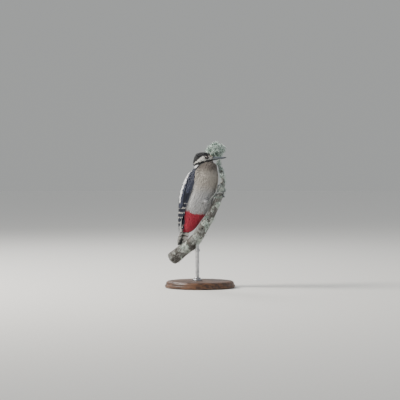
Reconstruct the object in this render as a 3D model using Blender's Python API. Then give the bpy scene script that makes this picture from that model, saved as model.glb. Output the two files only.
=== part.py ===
"""Great spotted woodpecker, life size, clinging to a short cut branch held by a rod on a round base.

The bird is modelled in its own frame, in millimetres: X forward out of its belly, Y to its left, Z up.
Its mirror plane is Y = 0, apart from the head, which is turned to its left. Everything is then raised
so that the underside of the base is at Z = 0.
"""
import math

import bpy
import bmesh
from mathutils import Vector

MM = 0.001
FLOOR = -165.0  # height of the floor in the bird's frame
GAP = 0.3  # clearance between pieces that meet
FEATHER_GAP = 0.6  # clearance between the coat of the body and the folded wing

# Looks: name, colour, roughness, metallic.
LOOKS = {
    "black": ("black_plumage", (0.012, 0.013, 0.018), 0.5, 0.0),
    "buff": ("buff_plumage", (0.46, 0.42, 0.36), 0.8, 0.0),
    "bill": ("slate_horn", (0.05, 0.055, 0.06), 0.35, 0.0),
    "eye": ("dark_eye", (0.02, 0.006, 0.004), 0.06, 0.0),
    "leg": ("grey_scales", (0.14, 0.15, 0.15), 0.6, 0.0),
    "bark": ("lichened_bark", (0.22, 0.20, 0.18), 0.9, 0.0),
    "lichen": ("grey_green_lichen", (0.42, 0.50, 0.42), 0.95, 0.0),
    "wood": ("dark_wood", (0.05, 0.03, 0.02), 0.4, 0.0),
    "steel": ("satin_steel", (0.5, 0.5, 0.5), 0.35, 1.0),
}

# Body, by station: height, centre forward, centre to the left, depth to the front, to the back, half width.
BODY = {
    "nape": (74.0, 11.5, 2.5, 10.5, 10.5, 9.0),
    "throat": (68.0, 11.5, 1.5, 22.0, 15.5, 14.8),
    "shoulder": (58.0, 9.5, 0.0, 26.5, 21.5, 21.5),
    "breast": (45.0, 5.0, 0.0, 33.0, 27.5, 26.5),
    "chest": (28.0, 0.4, 0.0, 35.5, 31.5, 29.0),
    "belly": (9.4, -4.6, 0.0, 35.0, 32.0, 29.5),
    "flank": (-9.4, -10.0, 0.0, 31.5, 29.0, 27.5),
    "rump": (-28.0, -16.0, 0.0, 25.0, 24.0, 22.0),
    "vent": (-43.0, -22.0, 0.0, 19.5, 16.5, 15.5),
    "crissum": (-54.0, -27.5, 0.0, 16.2, 9.6, 10.8),
    "crissum_tip": (-61.5, -32.0, 0.0, 10.2, 4.8, 6.5),
}
NECK_CUT = 56.0  # height of the thin cut between neck and trunk

# The surface that the folded wings lie on: the body, carried on over the rump and the tail.
WING_BED = {
    **{name: BODY[name] for name in ("nape", "throat", "shoulder", "breast", "chest", "belly", "flank")},
    "rump": (-28.0, -17.5, 0.0, 25.0, 24.8, 23.0),
    "vent": (-43.0, -27.5, 0.0, 17.0, 16.4, 17.5),
    "primaries": (-55.0, -31.5, 0.0, 12.0, 12.4, 13.4),
    "wing_tip": (-64.0, -34.5, 0.0, 10.0, 10.6, 10.8),
}
# Folded wing, by height: its two edges as degrees round from the middle of the back, and its thickness.
WING = {
    "wrist": (62.0, 92.0, 76.0, 0.8),
    "alula": (57.0, 101.0, 56.0, 2.0),
    "coverts": (44.0, 105.0, 44.0, 2.7),
    "scapulars": (28.0, 98.0, 35.0, 3.0),
    "secondaries": (8.0, 88.0, 27.0, 3.0),
    "tertials": (-12.0, 80.0, 17.0, 2.8),
    "rump": (-28.0, 77.0, 10.0, 2.6),
    "primary_fold": (-43.0, 80.0, 7.0, 2.2),
    "long_primaries": (-55.0, 56.0, 8.0, 1.7),
    "wing_tip": (-62.5, 28.0, 14.0, 1.0),
}
WING_EDGE = 0.7  # thickness of the wing at its two edges

# Head, by distance back from the base of the bill: lift of the centre, up, down, half width.
HEAD = {
    "bill_base": (0.0, 0.2, 3.9, 3.7, 4.2),
    "lores": (3.2, 0.9, 6.0, 5.6, 6.3),
    "forehead": (7.5, 1.4, 9.8, 8.2, 9.2),
    "eyes": (12.5, 1.5, 12.0, 10.2, 11.4),
    "crown": (19.0, 1.0, 13.4, 12.2, 13.0),
    "ear_coverts": (25.5, 0.2, 14.0, 13.1, 13.2),
    "nape": (31.5, -0.8, 13.2, 12.8, 11.6),
    "nape_end": (36.3, -3.9, 8.5, 8.1, 7.6),
    "nape_tip": (38.5, -6.0, 3.2, 3.2, 3.0),
}
BILL_BASE = Vector((24.6, 7.7, 77.4))
HEAD_TURN = math.radians(28)  # to the bird's left
HEAD_TILT = math.radians(5)  # bill up
BILL_LENGTH = 25.5
BILL_DEPTHS = {"upper_bill": 3.8, "lower_bill": 3.3}
BILL_HALF_WIDTH = 4.0
BILL_OVERBITE = 1.2  # how much further the upper half reaches
BILL_STEPS = (0.0, 0.12, 0.35, 0.6, 0.82, 0.95, 1.0)  # sections, as shares of its length
BILL_SECTION = ((1.0, 0.0), (0.86, 0.5), (0.42, 0.9), (0.0, 1.0), (-0.42, 0.9), (-0.86, 0.5), (-1.0, 0.0))
EYE_RADIUS = 3.6
EYE = Vector((-10.6, 8.2, 4.2))  # forward of the bill base, to the side, up

TAIL_ROOT = Vector((-13.0, 0.0, -6.0))
TAIL_LENGTH = 88.0
TAIL_LEAN = math.radians(26)  # backwards at the root
TAIL_BEND = math.radians(8)  # forwards again by the tip, where the stiff shafts press on the bark
TAIL_THICK = 1.0
TAIL_SPREAD = (1.4, 0.026)  # half the width taken by one pair of feathers: at the root, and gained per mm
TAIL_STEP = 0.35  # each outer feather lies this much further under its neighbour
TAIL_ARCH = 1.0  # how far the outer edges droop towards the belly
TAIL_FEATHERS = (1.0, 0.985, 0.965, 0.93, 0.86)  # shares of the longest, from the middle pair outwards
TAIL_NOTCH = 3.2  # depth of the gaps between their tips
TAIL_EDGE = 12.0  # how far up the outermost edge starts to round off
TAIL_SECTIONS = (0.0, 0.12, 0.27, 0.43, 0.6, 0.76, 0.9, 1.0)  # as shares of each feather's length

# Branch: forward, height, radius, from the lower cut to the upper cut. The tail tip sets its second point.
BRANCH_LOW = (-64.0, -112.5, 12.2)
BRANCH_REST_RADIUS = 11.6
BRANCH_REST_DIRECTION = math.radians(123)  # from straight ahead round to the side the tail rests on
BRANCH_RINGS = 23
BRANCH_SIDES = 16
BRANCH_HIGH = (
    (-10.5, -75.0, 11.0),
    (4.0, -56.4, 10.0),
    (17.8, -37.6, 8.8),
    (29.8, -18.8, 7.6),
    (40.5, 0.0, 7.0),
    (47.5, 16.0, 6.2),
    (51.3, 33.0, 5.0),
)
TWIG = ((51.3, 0.5, 33.4), (46.8, 7.0, 45.5), (33.5, 18.5, 59.0), (20.5, 29.5, 76.0), (13.5, 35.0, 90.0))
TWIG_RADII = (3.4, 2.2)
TWIG_SIDES = 8
LICHEN_CENTRE = Vector((12.0, 36.0, 94.0))
LICHEN_RADIUS = 14.5
LICHEN_LUMPS = 0.08  # depth of its lumps as a share of its radius
LICHEN_SQUASH = 0.9

# Feet: height of the ankle, and degrees round the branch from the side that faces the bird.
FEET = {"right": (12.5, -58.0), "left": (5.0, 56.0)}
HIP = Vector((2.0, 13.0, 4.0))
HEEL = {"right": Vector((28.5, 12.8, -3.0)), "left": Vector((25.5, 12.8, -11.0))}
THIGH_STEPS = (0.0, 0.35, 0.7, 0.9, 1.0)  # from hip to heel
THIGH_RADII = (9.0, 8.2, 5.8, 4.4, 3.2)
TARSUS_RADII = (1.5, 1.4)
TARSUS_INSET = 2.0  # how far it runs up inside the thigh's feathers
TARSUS_POINTS = 6
# Toes: length, heading in degrees from straight up the branch (positive turns outwards), radius at the root.
TOES = {"1": (9.5, 205.0, 1.25), "2": (13.5, -12.0, 1.35), "3": (17.5, 18.0, 1.45), "4": (19.0, 68.0, 1.45)}
TOE_TIP = 0.78  # radius at the tip as a share of the root's
TOE_POINTS = 8
TOE_KNUCKLE = 0.55  # how far the middle joint stands off the bark
TOE_LIFT = 0.1  # more than the gap, so that flat facets stay clear
CLAW_LENGTH = 7.0
CLAW_TURN = math.radians(100)
CLAW_POINTS = 7
HIND_CLAW = 0.8  # its length as a share of the others'

BASE_RADIUS = 66.0
BASE_HEIGHT = 13.0
BASE_BEVEL = 1.6
ROD_RADIUS = 3.5
ROD_FORWARD = -6.0
ROD_TOP = BRANCH_HIGH[0][1] + 4.0  # inside the branch, before the branch is cut out of it


def clear_scene():
    for thing in list(bpy.data.objects):
        bpy.data.objects.remove(thing)


def material(name, colour, roughness, metallic):
    made = bpy.data.materials.new(name)
    made.use_nodes = True
    shader = made.node_tree.nodes["Principled BSDF"]
    shader.inputs["Base Color"].default_value = (*colour, 1.0)
    shader.inputs["Roughness"].default_value = roughness
    shader.inputs["Metallic"].default_value = metallic
    return made


def smooth_row(rows, at):
    """The other values of a table of rows at one value of its first column, on a smooth curve."""
    rows = sorted(rows)
    keys = [row[0] for row in rows]
    at = min(max(at, keys[0]), keys[-1])
    i = max(k for k in range(len(keys) - 1) if keys[k] <= at)
    span = keys[i + 1] - keys[i]
    t = (at - keys[i]) / span

    def slope(k, column):
        low, high = max(k - 1, 0), min(k + 1, len(rows) - 1)
        return (rows[high][column] - rows[low][column]) / (rows[high][0] - rows[low][0])

    found = []
    for column in range(1, len(rows[0])):
        a, b = rows[i][column], rows[i + 1][column]
        ma, mb = slope(i, column) * span, slope(i + 1, column) * span
        found.append(
            (2 * t**3 - 3 * t**2 + 1) * a
            + (t**3 - 2 * t**2 + t) * ma
            + (3 * t**2 - 2 * t**3) * b
            + (t**3 - t**2) * mb
        )
    return found


def smooth_line(points, count):
    """Points evenly spread along a smooth curve through the given ones."""
    points = [Vector(p) for p in points]
    lengths = [0.0]
    for a, b in zip(points, points[1:]):
        lengths.append(lengths[-1] + (b - a).length)
    rows = [(length, *p) for length, p in zip(lengths, points)]
    return [Vector(smooth_row(rows, lengths[-1] * k / (count - 1))) for k in range(count)]


def bird_parent():
    """Everything is parented to this empty, which stands the model on its base."""
    empty = bpy.data.objects.new("model", None)
    empty.location = (0.0, 0.0, -FLOOR * MM)
    bpy.context.scene.collection.objects.link(empty)
    return empty


def add_object(name, mesh, look=None, helper=False):
    """A new object with a material of its own, or a helper that only cuts."""
    made = bpy.data.objects.new(name, mesh)
    bpy.context.scene.collection.objects.link(made)
    made.parent = bpy.data.objects["model"]
    if look:
        look_name, *values = LOOKS[look]
        mesh.materials.append(material(f"{name}_{look_name}", *values))
    if helper:
        made.hide_render = True
        made.display_type = "WIRE"
    return made


def mesh_from(bm, name):
    bmesh.ops.recalc_face_normals(bm, faces=bm.faces[:])
    bmesh.ops.scale(bm, vec=(MM, MM, MM), verts=bm.verts[:])
    mesh = bpy.data.meshes.new(name)
    bm.to_mesh(mesh)
    bm.free()
    mesh.shade_smooth()
    mesh.set_sharp_from_angle(angle=math.radians(50))
    return mesh


def loft(name, rings, look=None, helper=False):
    """A closed solid through rings of points, with a flat cap at each end."""
    bm = bmesh.new()
    layers = [[bm.verts.new(p) for p in ring] for ring in rings]
    for low, high in zip(layers, layers[1:]):
        for i in range(len(low)):
            j = (i + 1) % len(low)
            bm.faces.new((low[i], low[j], high[j], high[i]))
    bm.faces.new(layers[0])
    bm.faces.new(layers[-1])
    return add_object(name, mesh_from(bm, name), look, helper)


def ring_round(centre, across, up, radius, count):
    turns = [2 * math.pi * k / count for k in range(count)]
    return [centre + across * (radius * math.cos(a)) + up * (radius * math.sin(a)) for a in turns]


def tube(name, points, radii, sides, look=None, helper=False, grow=0.0):
    """A round bar along a line of points, with a radius for each point."""
    rings = []
    side = None
    for k, (point, radius) in enumerate(zip(points, radii)):
        along = (points[min(k + 1, len(points) - 1)] - points[max(k - 1, 0)]).normalized()
        if side is None:
            side = along.orthogonal().normalized()
        side = (side - along * side.dot(along)).normalized()
        rings.append(ring_round(point, side, along.cross(side), radius + grow, sides))
    return loft(name, rings, look, helper)


def cut(target, tools, operation="DIFFERENCE"):
    for tool in tools:
        modifier = target.modifiers.new(f"{operation.lower()}_{tool.name}", "BOOLEAN")
        modifier.operation = operation
        modifier.solver = "EXACT"
        modifier.object = tool


def taper(values, count):
    return [values[0] + (values[1] - values[0]) * k / (count - 1) for k in range(count)]


# ---- body -------------------------------------------------------------------------------------


def hull_point(table, height, degrees, grow=0.0):
    """A point on the coat, degrees round from the middle of the back; positive is the bird's left."""
    centre, left, front, back, side = smooth_row(table.values(), height)
    angle = math.radians(degrees)
    depth = back if math.cos(angle) > 0 else front
    return Vector((centre - (depth + grow) * math.cos(angle), left + (side + grow) * math.sin(angle), height))


def hull_rings(low, high, count, sides=28, grow=0.0):
    heights = [low + (high - low) * k / (count - 1) for k in range(count)]
    return [[hull_point(BODY, h, 360 * k / sides, grow) for k in range(sides)] for h in heights]


def make_trunk():
    bottom = BODY["crissum_tip"][0]
    loft("trunk", hull_rings(bottom, NECK_CUT - GAP / 2, 23), "buff")
    return loft("trunk_cutter", hull_rings(bottom - GAP, NECK_CUT, 23, grow=GAP), helper=True)


def make_neck(head_cutter):
    neck = loft("neck", hull_rings(NECK_CUT + GAP / 2, BODY["nape"][0], 7), "black")
    cut(neck, [head_cutter])


# ---- head -------------------------------------------------------------------------------------


def head_axes():
    forward = Vector(
        (
            math.cos(HEAD_TURN) * math.cos(HEAD_TILT),
            math.sin(HEAD_TURN) * math.cos(HEAD_TILT),
            math.sin(HEAD_TILT),
        )
    )
    left = Vector((-math.sin(HEAD_TURN), math.cos(HEAD_TURN), 0.0))
    return forward, left, forward.cross(left)


def head_rings(count=13, sides=22, grow=0.0):
    forward, left, up = head_axes()
    last = HEAD["nape_tip"][0]
    rings = []
    for k in range(count):
        back = last * k / (count - 1)
        lift, above, below, side = smooth_row(HEAD.values(), back)
        centre = BILL_BASE - forward * back + up * lift
        rings.append(
            [
                centre
                + left * ((side + grow) * math.cos(a))
                + up * (((above if math.sin(a) > 0 else below) + grow) * math.sin(a))
                for a in (2 * math.pi * i / sides for i in range(sides))
            ]
        )
    return rings


def make_head():
    head = loft("head", head_rings(), "black")
    cutter = loft("head_cutter", head_rings(grow=GAP), helper=True)
    for side, sign in (("right", -1), ("left", 1)):
        cut(head, [make_eye(f"eye_{side}_cutter", sign, None, GAP)])
        make_eye(f"eye_{side}", sign, "eye")
    return cutter


def make_eye(name, sign, look, grow=0.0):
    forward, left, up = head_axes()
    bm = bmesh.new()
    bmesh.ops.create_uvsphere(bm, u_segments=14, v_segments=8, radius=EYE_RADIUS + grow)
    centre = BILL_BASE + forward * EYE.x + left * (sign * EYE.y) + up * EYE.z
    bmesh.ops.rotate(bm, verts=bm.verts[:], matrix=left.to_track_quat("Z", "Y").to_matrix())
    bmesh.ops.translate(bm, verts=bm.verts[:], vec=centre)
    return add_object(name, mesh_from(bm, name), look, helper=grow > 0)


def bill_ring(distance, depth, width, sense):
    """A rhombic, slightly rounded section of one half of the bill, from its cutting edge up or down."""
    forward, left, up = head_axes()
    centre = BILL_BASE + forward * distance + up * HEAD["bill_base"][1]
    return [centre + left * (width * x) + up * (sense * (GAP / 2 + depth * y)) for x, y in BILL_SECTION]


def make_bill():
    """Two straight halves that meet along the cutting edges and end in an upright chisel."""
    for name, sense in (("upper_bill", 1), ("lower_bill", -1)):
        reach = BILL_LENGTH if sense > 0 else BILL_LENGTH - BILL_OVERBITE
        rings = []
        for share in BILL_STEPS:
            thin = 1 - 0.78 * share**1.15
            if share > 0.9:
                thin *= 0.72 if share < 1.0 else 0.4
            width = BILL_HALF_WIDTH * (1 - 0.86 * share**0.9) + 0.1
            rings.append(bill_ring(GAP + reach * share, BILL_DEPTHS[name] * thin, width, sense))
        loft(name, rings, "bill")


# ---- wings and tail ---------------------------------------------------------------------------


def make_wing(name, sign, rows=21, columns=9):
    """A folded wing: a patch lying on the body, thickest along its middle, with thin edges."""
    low, high = WING["wing_tip"][0], WING["wrist"][0]
    inner, outer = [], []
    for r in range(rows):
        height = low + (high - low) * r / (rows - 1)
        lower_edge, upper_edge, thick = smooth_row(WING.values(), height)
        inner_row, outer_row = [], []
        for c in range(columns):
            share = c / (columns - 1)
            degrees = sign * (lower_edge + (upper_edge - lower_edge) * share)
            swell = math.sin(math.pi * share) ** 0.6 if 0 < c < columns - 1 else 0.0
            depth = WING_EDGE + (thick - WING_EDGE) * swell
            inner_row.append(hull_point(WING_BED, height, degrees, FEATHER_GAP))
            outer_row.append(hull_point(WING_BED, height, degrees, FEATHER_GAP + depth))
        inner.append(inner_row)
        outer.append(outer_row[::-1])
    loft(name, [i + o for i, o in zip(inner, outer)], "black")


def tail_line(distance):
    """A point on the middle line of the tail, and the direction that it runs in there."""
    steps = 24
    place = TAIL_ROOT.copy()
    for k in range(steps):
        share = distance * (k + 0.5) / steps / TAIL_LENGTH
        angle = TAIL_LEAN - TAIL_BEND * share**1.5
        place += Vector((-math.sin(angle), 0.0, -math.cos(angle))) * (distance / steps)
    angle = TAIL_LEAN - TAIL_BEND * (distance / TAIL_LENGTH) ** 1.5
    return place, Vector((-math.sin(angle), 0.0, -math.cos(angle)))


def tail_section(across, finish_length):
    """The outline of a thin lengthwise slice of the tail, at a place across it counted in feathers."""
    front_side, back_side = [], []
    for share in TAIL_SECTIONS:
        distance = finish_length * share
        place, along = tail_line(distance)
        front = Vector((-along.z, 0.0, along.x))
        sideways = across * (TAIL_SPREAD[0] + distance * TAIL_SPREAD[1])
        droop = TAIL_ARCH * (sideways / 11.0) ** 2 + TAIL_STEP * (abs(across) - 2.5)
        centre = place + Vector((0, sideways, 0)) + front * droop
        thick = TAIL_THICK / 2 * (1.0 if share < 1.0 else 0.5)
        front_side.append(centre + front * thick)
        back_side.append(centre - front * thick)
    return front_side + back_side[::-1]


def make_tail(trunk_cutter):
    """Stiff feathers side by side, each with its own pointed tip, the middle pair the longest."""
    sections = []
    last = len(TAIL_FEATHERS)
    for step in range(-2 * last, 2 * last + 1):
        across = step / 2
        if step % 2:
            length = TAIL_LENGTH * TAIL_FEATHERS[int(abs(across))]
        elif abs(across) == last:
            length = TAIL_LENGTH * TAIL_FEATHERS[-1] - TAIL_EDGE
        else:
            length = TAIL_LENGTH * TAIL_FEATHERS[int(abs(across))] - TAIL_NOTCH
        sections.append(tail_section(across, length))
    tail = loft("tail", sections, "black")
    cut(tail, [trunk_cutter])


# ---- branch -----------------------------------------------------------------------------------


def branch_points():
    """Centre line and radii of the branch. It passes just under the tip of the tail."""
    tip, _ = tail_line(TAIL_LENGTH)
    reach = BRANCH_REST_RADIUS + TAIL_THICK + GAP
    rest = (
        tip.x - math.cos(BRANCH_REST_DIRECTION) * reach,
        tip.z - math.sin(BRANCH_REST_DIRECTION) * reach,
        BRANCH_REST_RADIUS,
    )
    rows = [BRANCH_LOW, rest, *BRANCH_HIGH]
    return [(Vector((x, 0.0, z)), radius) for x, z, radius in rows]


def branch_at(distance):
    """Centre, direction and radius of the branch at a distance from its lower end."""
    points = branch_points()
    rows, run = [], 0.0
    for k, (place, radius) in enumerate(points):
        if k:
            run += (place - points[k - 1][0]).length
        rows.append((run, place.x, place.z, radius))
    x, z, radius = smooth_row(rows, distance)
    ahead = smooth_row(rows, distance + 0.5)
    behind = smooth_row(rows, distance - 0.5)
    along = Vector((ahead[0] - behind[0], 0.0, ahead[1] - behind[1])).normalized()
    return Vector((x, 0.0, z)), along, radius, run


def branch_distance(height):
    """How far up the branch its middle line reaches this height."""
    low, high = 0.0, branch_at(0.0)[3]
    for _ in range(30):
        middle = (low + high) / 2
        if branch_at(middle)[0].z < height:
            low = middle
        else:
            high = middle
    return low


def branch_surface(distance, degrees, lift=0.0):
    """A point this far above the bark, degrees round from the side that faces the bird."""
    centre, along, radius, _ = branch_at(distance)
    towards = Vector((-along.z, 0.0, along.x))
    angle = math.radians(degrees)
    out = towards * math.cos(angle) + Vector((0, 1, 0)) * math.sin(angle)
    return centre + out * (radius + lift), out


def branch_tube(name, look, grow=0.0):
    length = branch_at(0.0)[3]
    turns = [360 * k / BRANCH_SIDES for k in range(BRANCH_SIDES)]
    runs = [length * k / (BRANCH_RINGS - 1) for k in range(BRANCH_RINGS)]
    rings = [[branch_surface(run, turn, grow)[0] for turn in turns] for run in runs]
    return loft(name, rings, look, helper=grow > 0)


def make_perch():
    branch_tube("perch_branch", "bark")
    cutter = branch_tube("branch_cutter", None, GAP)
    line = smooth_line(TWIG, 13)
    radii = taper(TWIG_RADII, len(line))
    twig = tube("perch_twig", line, radii, TWIG_SIDES, "bark")
    cut(twig, [cutter])
    make_lichen(tube("twig_cutter", line, radii, TWIG_SIDES, helper=True, grow=GAP))
    return cutter


def make_lichen(twig_cutter):
    """The tuft at the end of the twig: a lumpy ball with an uneven outline."""
    bm = bmesh.new()
    bmesh.ops.create_icosphere(bm, subdivisions=3, radius=LICHEN_RADIUS)
    for vert in bm.verts:
        d = vert.co.normalized()
        lumps = math.sin(5 * d.x + 2 * d.z) * math.cos(6 * d.y - 3 * d.x) + 0.6 * math.sin(9 * d.z + 4 * d.y)
        vert.co *= 1 + LICHEN_LUMPS * lumps
        vert.co.z *= LICHEN_SQUASH
    bmesh.ops.translate(bm, verts=bm.verts[:], vec=LICHEN_CENTRE)
    clump = add_object("perch_lichen", mesh_from(bm, "perch_lichen"), "lichen")
    cut(clump, [twig_cutter])


# ---- legs -------------------------------------------------------------------------------------


def mirrored(place, sign):
    return Vector((place.x, place.y * sign, place.z))


def make_leg(side, sign, trunk_cutter, branch_cutter):
    hip, heel = mirrored(HIP, sign), mirrored(HEEL[side], sign)
    line = [hip + (heel - hip) * share for share in THIGH_STEPS]
    thigh = tube(f"thigh_{side}", line, THIGH_RADII, 14, "buff")
    cut(thigh, [trunk_cutter])
    thigh_cutter = tube(f"thigh_{side}_cutter", line, THIGH_RADII, 14, helper=True, grow=GAP)

    ankle_height, round_branch = FEET[side]
    up_branch = branch_distance(ankle_height)
    sole, out = branch_surface(up_branch, round_branch, GAP + TARSUS_RADII[1] + TOE_LIFT)
    ankle = sole + out * 0.5
    start = heel - (ankle - heel).normalized() * TARSUS_INSET
    last = TARSUS_POINTS - 1
    tarsus_line = [start + (ankle - start) * k / last for k in range(TARSUS_POINTS)]
    tarsus = tube(f"foot_{side}", tarsus_line, taper(TARSUS_RADII, TARSUS_POINTS), 10, "leg")
    pieces = []
    for toe in TOES:
        line, radii = toe_line(side, sign, toe)
        pieces.append(tube(f"toe_{side}_{toe}", line, radii, 8, helper=True))
        make_claw(side, toe, line, radii, branch_cutter)
    cut(tarsus, pieces, "UNION")
    cut(tarsus, [thigh_cutter, trunk_cutter, branch_cutter])


def toe_line(side, sign, toe):
    """The middle line of one toe, wrapped round the branch."""
    length, heading, root = TOES[toe]
    ankle_height, round_branch = FEET[side]
    up_branch = branch_distance(ankle_height)
    radius = branch_at(up_branch)[2]
    line, radii = [], []
    for k in range(TOE_POINTS):
        share = k / (TOE_POINTS - 1)
        thick = root * (1 - (1 - TOE_TIP) * share)
        run = length * share
        up = up_branch + run * math.cos(math.radians(heading))
        turn = math.degrees(run * math.sin(math.radians(heading)) / (radius + root))
        knuckle = TOE_KNUCKLE * math.sin(math.pi * share) ** 2 * (1 - share)
        place, _ = branch_surface(up, round_branch + sign * turn, GAP + root + TOE_LIFT + knuckle)
        line.append(place)
        radii.append(thick * (1 + 0.08 * math.cos(share * 6 * math.pi)))
    return line, radii


def height_over_bark(place, near):
    """How far a point is from the surface of the branch, looking near a distance along it."""
    gaps = []
    for step in range(-24, 25):
        centre, along, radius, _ = branch_at(near + step)
        offset = place - centre
        gaps.append((offset - along * offset.dot(along)).length - radius + 10 * abs(offset.dot(along)))
    return min(gaps)


def make_claw(side, toe, toe_points, toe_radii, branch_cutter):
    """A strongly hooked claw that starts at the end of its toe and curves down until it bites the bark."""
    end = toe_points[-1]
    along = (end - toe_points[-2]).normalized()
    near = branch_distance(end.z)
    centre, direction, _, _ = branch_at(near)
    out = end - centre
    out = (out - direction * out.dot(direction)).normalized()
    out = (out - along * out.dot(along)).normalized()
    length = CLAW_LENGTH * (HIND_CLAW if toe == "1" else 1.0)
    place = end + along * GAP + out * 0.15
    path = [place.copy()]
    fine = 40
    for k in range(fine):
        angle = CLAW_TURN * (k / fine) ** 0.8 - 0.25
        place = place + (along * math.cos(angle) - out * math.sin(angle)) * (length / fine)
        path.append(place)
        if k > fine // 3 and height_over_bark(place, near) < 0.1:
            break
    line = [path[round((len(path) - 1) * k / (CLAW_POINTS - 1))] for k in range(CLAW_POINTS)]
    radii = taper((toe_radii[-1] * 0.86, toe_radii[-1] * 0.22), CLAW_POINTS)
    claw = tube(f"claw_{side}_{toe}", line, radii, 7, "bill")
    cut(claw, [branch_cutter])


# ---- stand ------------------------------------------------------------------------------------


def make_stand(branch_cutter):
    bm = bmesh.new()
    bmesh.ops.create_cone(
        bm, cap_ends=True, segments=48, radius1=BASE_RADIUS, radius2=BASE_RADIUS, depth=BASE_HEIGHT
    )
    bmesh.ops.translate(bm, verts=bm.verts[:], vec=(0, 0, FLOOR + BASE_HEIGHT / 2))
    base = add_object("stand_base", mesh_from(bm, "stand_base"), "wood")
    bevel = base.modifiers.new("edge", "BEVEL")
    bevel.width = BASE_BEVEL * MM
    bevel.segments = 1
    bevel.limit_method = "ANGLE"
    bevel.angle_limit = math.radians(60)
    foot = Vector((ROD_FORWARD, 0.0, FLOOR + BASE_HEIGHT + GAP))
    top = Vector((ROD_FORWARD, 0.0, ROD_TOP))
    rod = tube("stand_rod", [foot, top], (ROD_RADIUS, ROD_RADIUS), 16, "steel")
    cut(rod, [branch_cutter])


def main():
    clear_scene()
    bird_parent()
    trunk_cutter = make_trunk()
    make_neck(make_head())
    make_bill()
    make_wing("wing_right", -1)
    make_wing("wing_left", 1)
    make_tail(trunk_cutter)
    branch_cutter = make_perch()
    for side, sign in (("right", -1), ("left", 1)):
        make_leg(side, sign, trunk_cutter, branch_cutter)
    make_stand(branch_cutter)


main()
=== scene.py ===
# Dresses the great spotted woodpecker: skin, feathers, bill, eyes, feet, lichened branch and display stand.
import math
import random
from functools import partial

import bmesh
import bpy
import numpy as np
from mathutils import Matrix, Vector, noise


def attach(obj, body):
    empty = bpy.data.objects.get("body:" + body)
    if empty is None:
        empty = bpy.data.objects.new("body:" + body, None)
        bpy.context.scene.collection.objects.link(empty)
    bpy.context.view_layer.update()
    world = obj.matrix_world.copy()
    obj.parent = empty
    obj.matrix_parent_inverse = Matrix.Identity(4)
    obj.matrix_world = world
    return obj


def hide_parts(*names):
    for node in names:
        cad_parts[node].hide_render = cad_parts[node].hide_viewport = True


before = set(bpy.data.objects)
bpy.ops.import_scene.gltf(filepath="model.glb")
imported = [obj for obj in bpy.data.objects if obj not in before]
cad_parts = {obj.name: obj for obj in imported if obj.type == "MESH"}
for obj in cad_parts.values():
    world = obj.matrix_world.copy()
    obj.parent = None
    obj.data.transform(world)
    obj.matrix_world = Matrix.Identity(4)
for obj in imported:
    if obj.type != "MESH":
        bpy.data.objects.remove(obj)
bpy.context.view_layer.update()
print("frame loaded")

mm = 0.001
floorDrop = 165.0  # mm from the floor up to the level that the bird's heights are counted from
fullTurn = 2 * math.pi


# Small tools for colour, nodes and meshes.

def linear(hexColour):
    parts = [int(hexColour[i:i + 2], 16) / 255 for i in (1, 3, 5)]
    return [c / 12.92 if c <= 0.04045 else ((c + 0.055) / 1.055) ** 2.4 for c in parts]


def rgba(hexColour):
    return (*linear(hexColour), 1.0)


# Short names for the nodes used most: type, settings, the inputs that its values go to, the output used.
nodeNames = {
    "mix": ("ShaderNodeMix", {"data_type": "RGBA"}, (0, 6, 7), 2),
    "tint": ("ShaderNodeMix", {"data_type": "RGBA", "blend_type": "MULTIPLY"}, (0, 6, 7), 2),
    "ease": ("ShaderNodeMapRange", {"interpolation_type": "SMOOTHSTEP"}, (0, 1, 2, 3, 4), 0),
    "scale": ("ShaderNodeVectorMath", {"operation": "SCALE"}, (0, "Scale"), 0),
    "sum": ("ShaderNodeVectorMath", {"operation": "ADD"}, (0, 1), 0),
    "read": ("GeometryNodeInputNamedAttribute", {"data_type": "FLOAT"}, ("Name",), 0),
    "readVector": ("GeometryNodeInputNamedAttribute", {"data_type": "FLOAT_VECTOR"}, ("Name",), 0),
    "random": ("FunctionNodeRandomValue", {"data_type": "FLOAT"}, (2, 3, "Seed"), 1),
    "randomVector": ("FunctionNodeRandomValue", {"data_type": "FLOAT_VECTOR"}, (0, 1, "Seed"), 0),
    "randomWhole": ("FunctionNodeRandomValue", {"data_type": "INT"}, (4, 5, "Seed"), 2),
    "turnTo": ("FunctionNodeAlignRotationToVector", {}, ("Vector", "Rotation"), 0),
    "value": ("ShaderNodeAttribute", {}, (), "Fac"),
    "colour": ("ShaderNodeAttribute", {}, (), "Color"),
    "place": ("ShaderNodeTexCoord", {}, (), "Object"),
}
for word in ("add", "subtract", "multiply", "multiply_add", "sine", "absolute", "power", "maximum"):
    nodeNames[word] = ("ShaderNodeMath", {"operation": word.upper()}, (0, 1, 2), 0)


# Adds one node with its settings and links, and gives the output used. A value is plain, a hex colour or
# another node's output.
def addNode(tree, kind, *values, take=None, **settings):
    kind, own, inputs, output = nodeNames.get(kind, (kind, {}, range(len(values)), 0))
    node = tree.nodes.new(kind)
    for key, value in {**own, **settings}.items():
        setattr(node, key, value)
    given = values[0] if values and isinstance(values[0], dict) else dict(zip(inputs, values))
    for key, value in given.items():
        if isinstance(value, bpy.types.NodeSocket):
            tree.links.new(value, node.inputs[key])
        else:
            colour = isinstance(value, str) and value.startswith("#")
            node.inputs[key].default_value = rgba(value) if colour else value
    if len(node.outputs):
        return node.outputs[output if take is None else take]


def startMaterial(name, **sockets):
    material = bpy.data.materials.new(name)
    material.use_nodes = True
    for key, value in sockets.items():
        material.node_tree.nodes["Principled BSDF"].inputs[key.replace("_", " ")].default_value = value
    return material, partial(addNode, material.node_tree)


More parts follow.
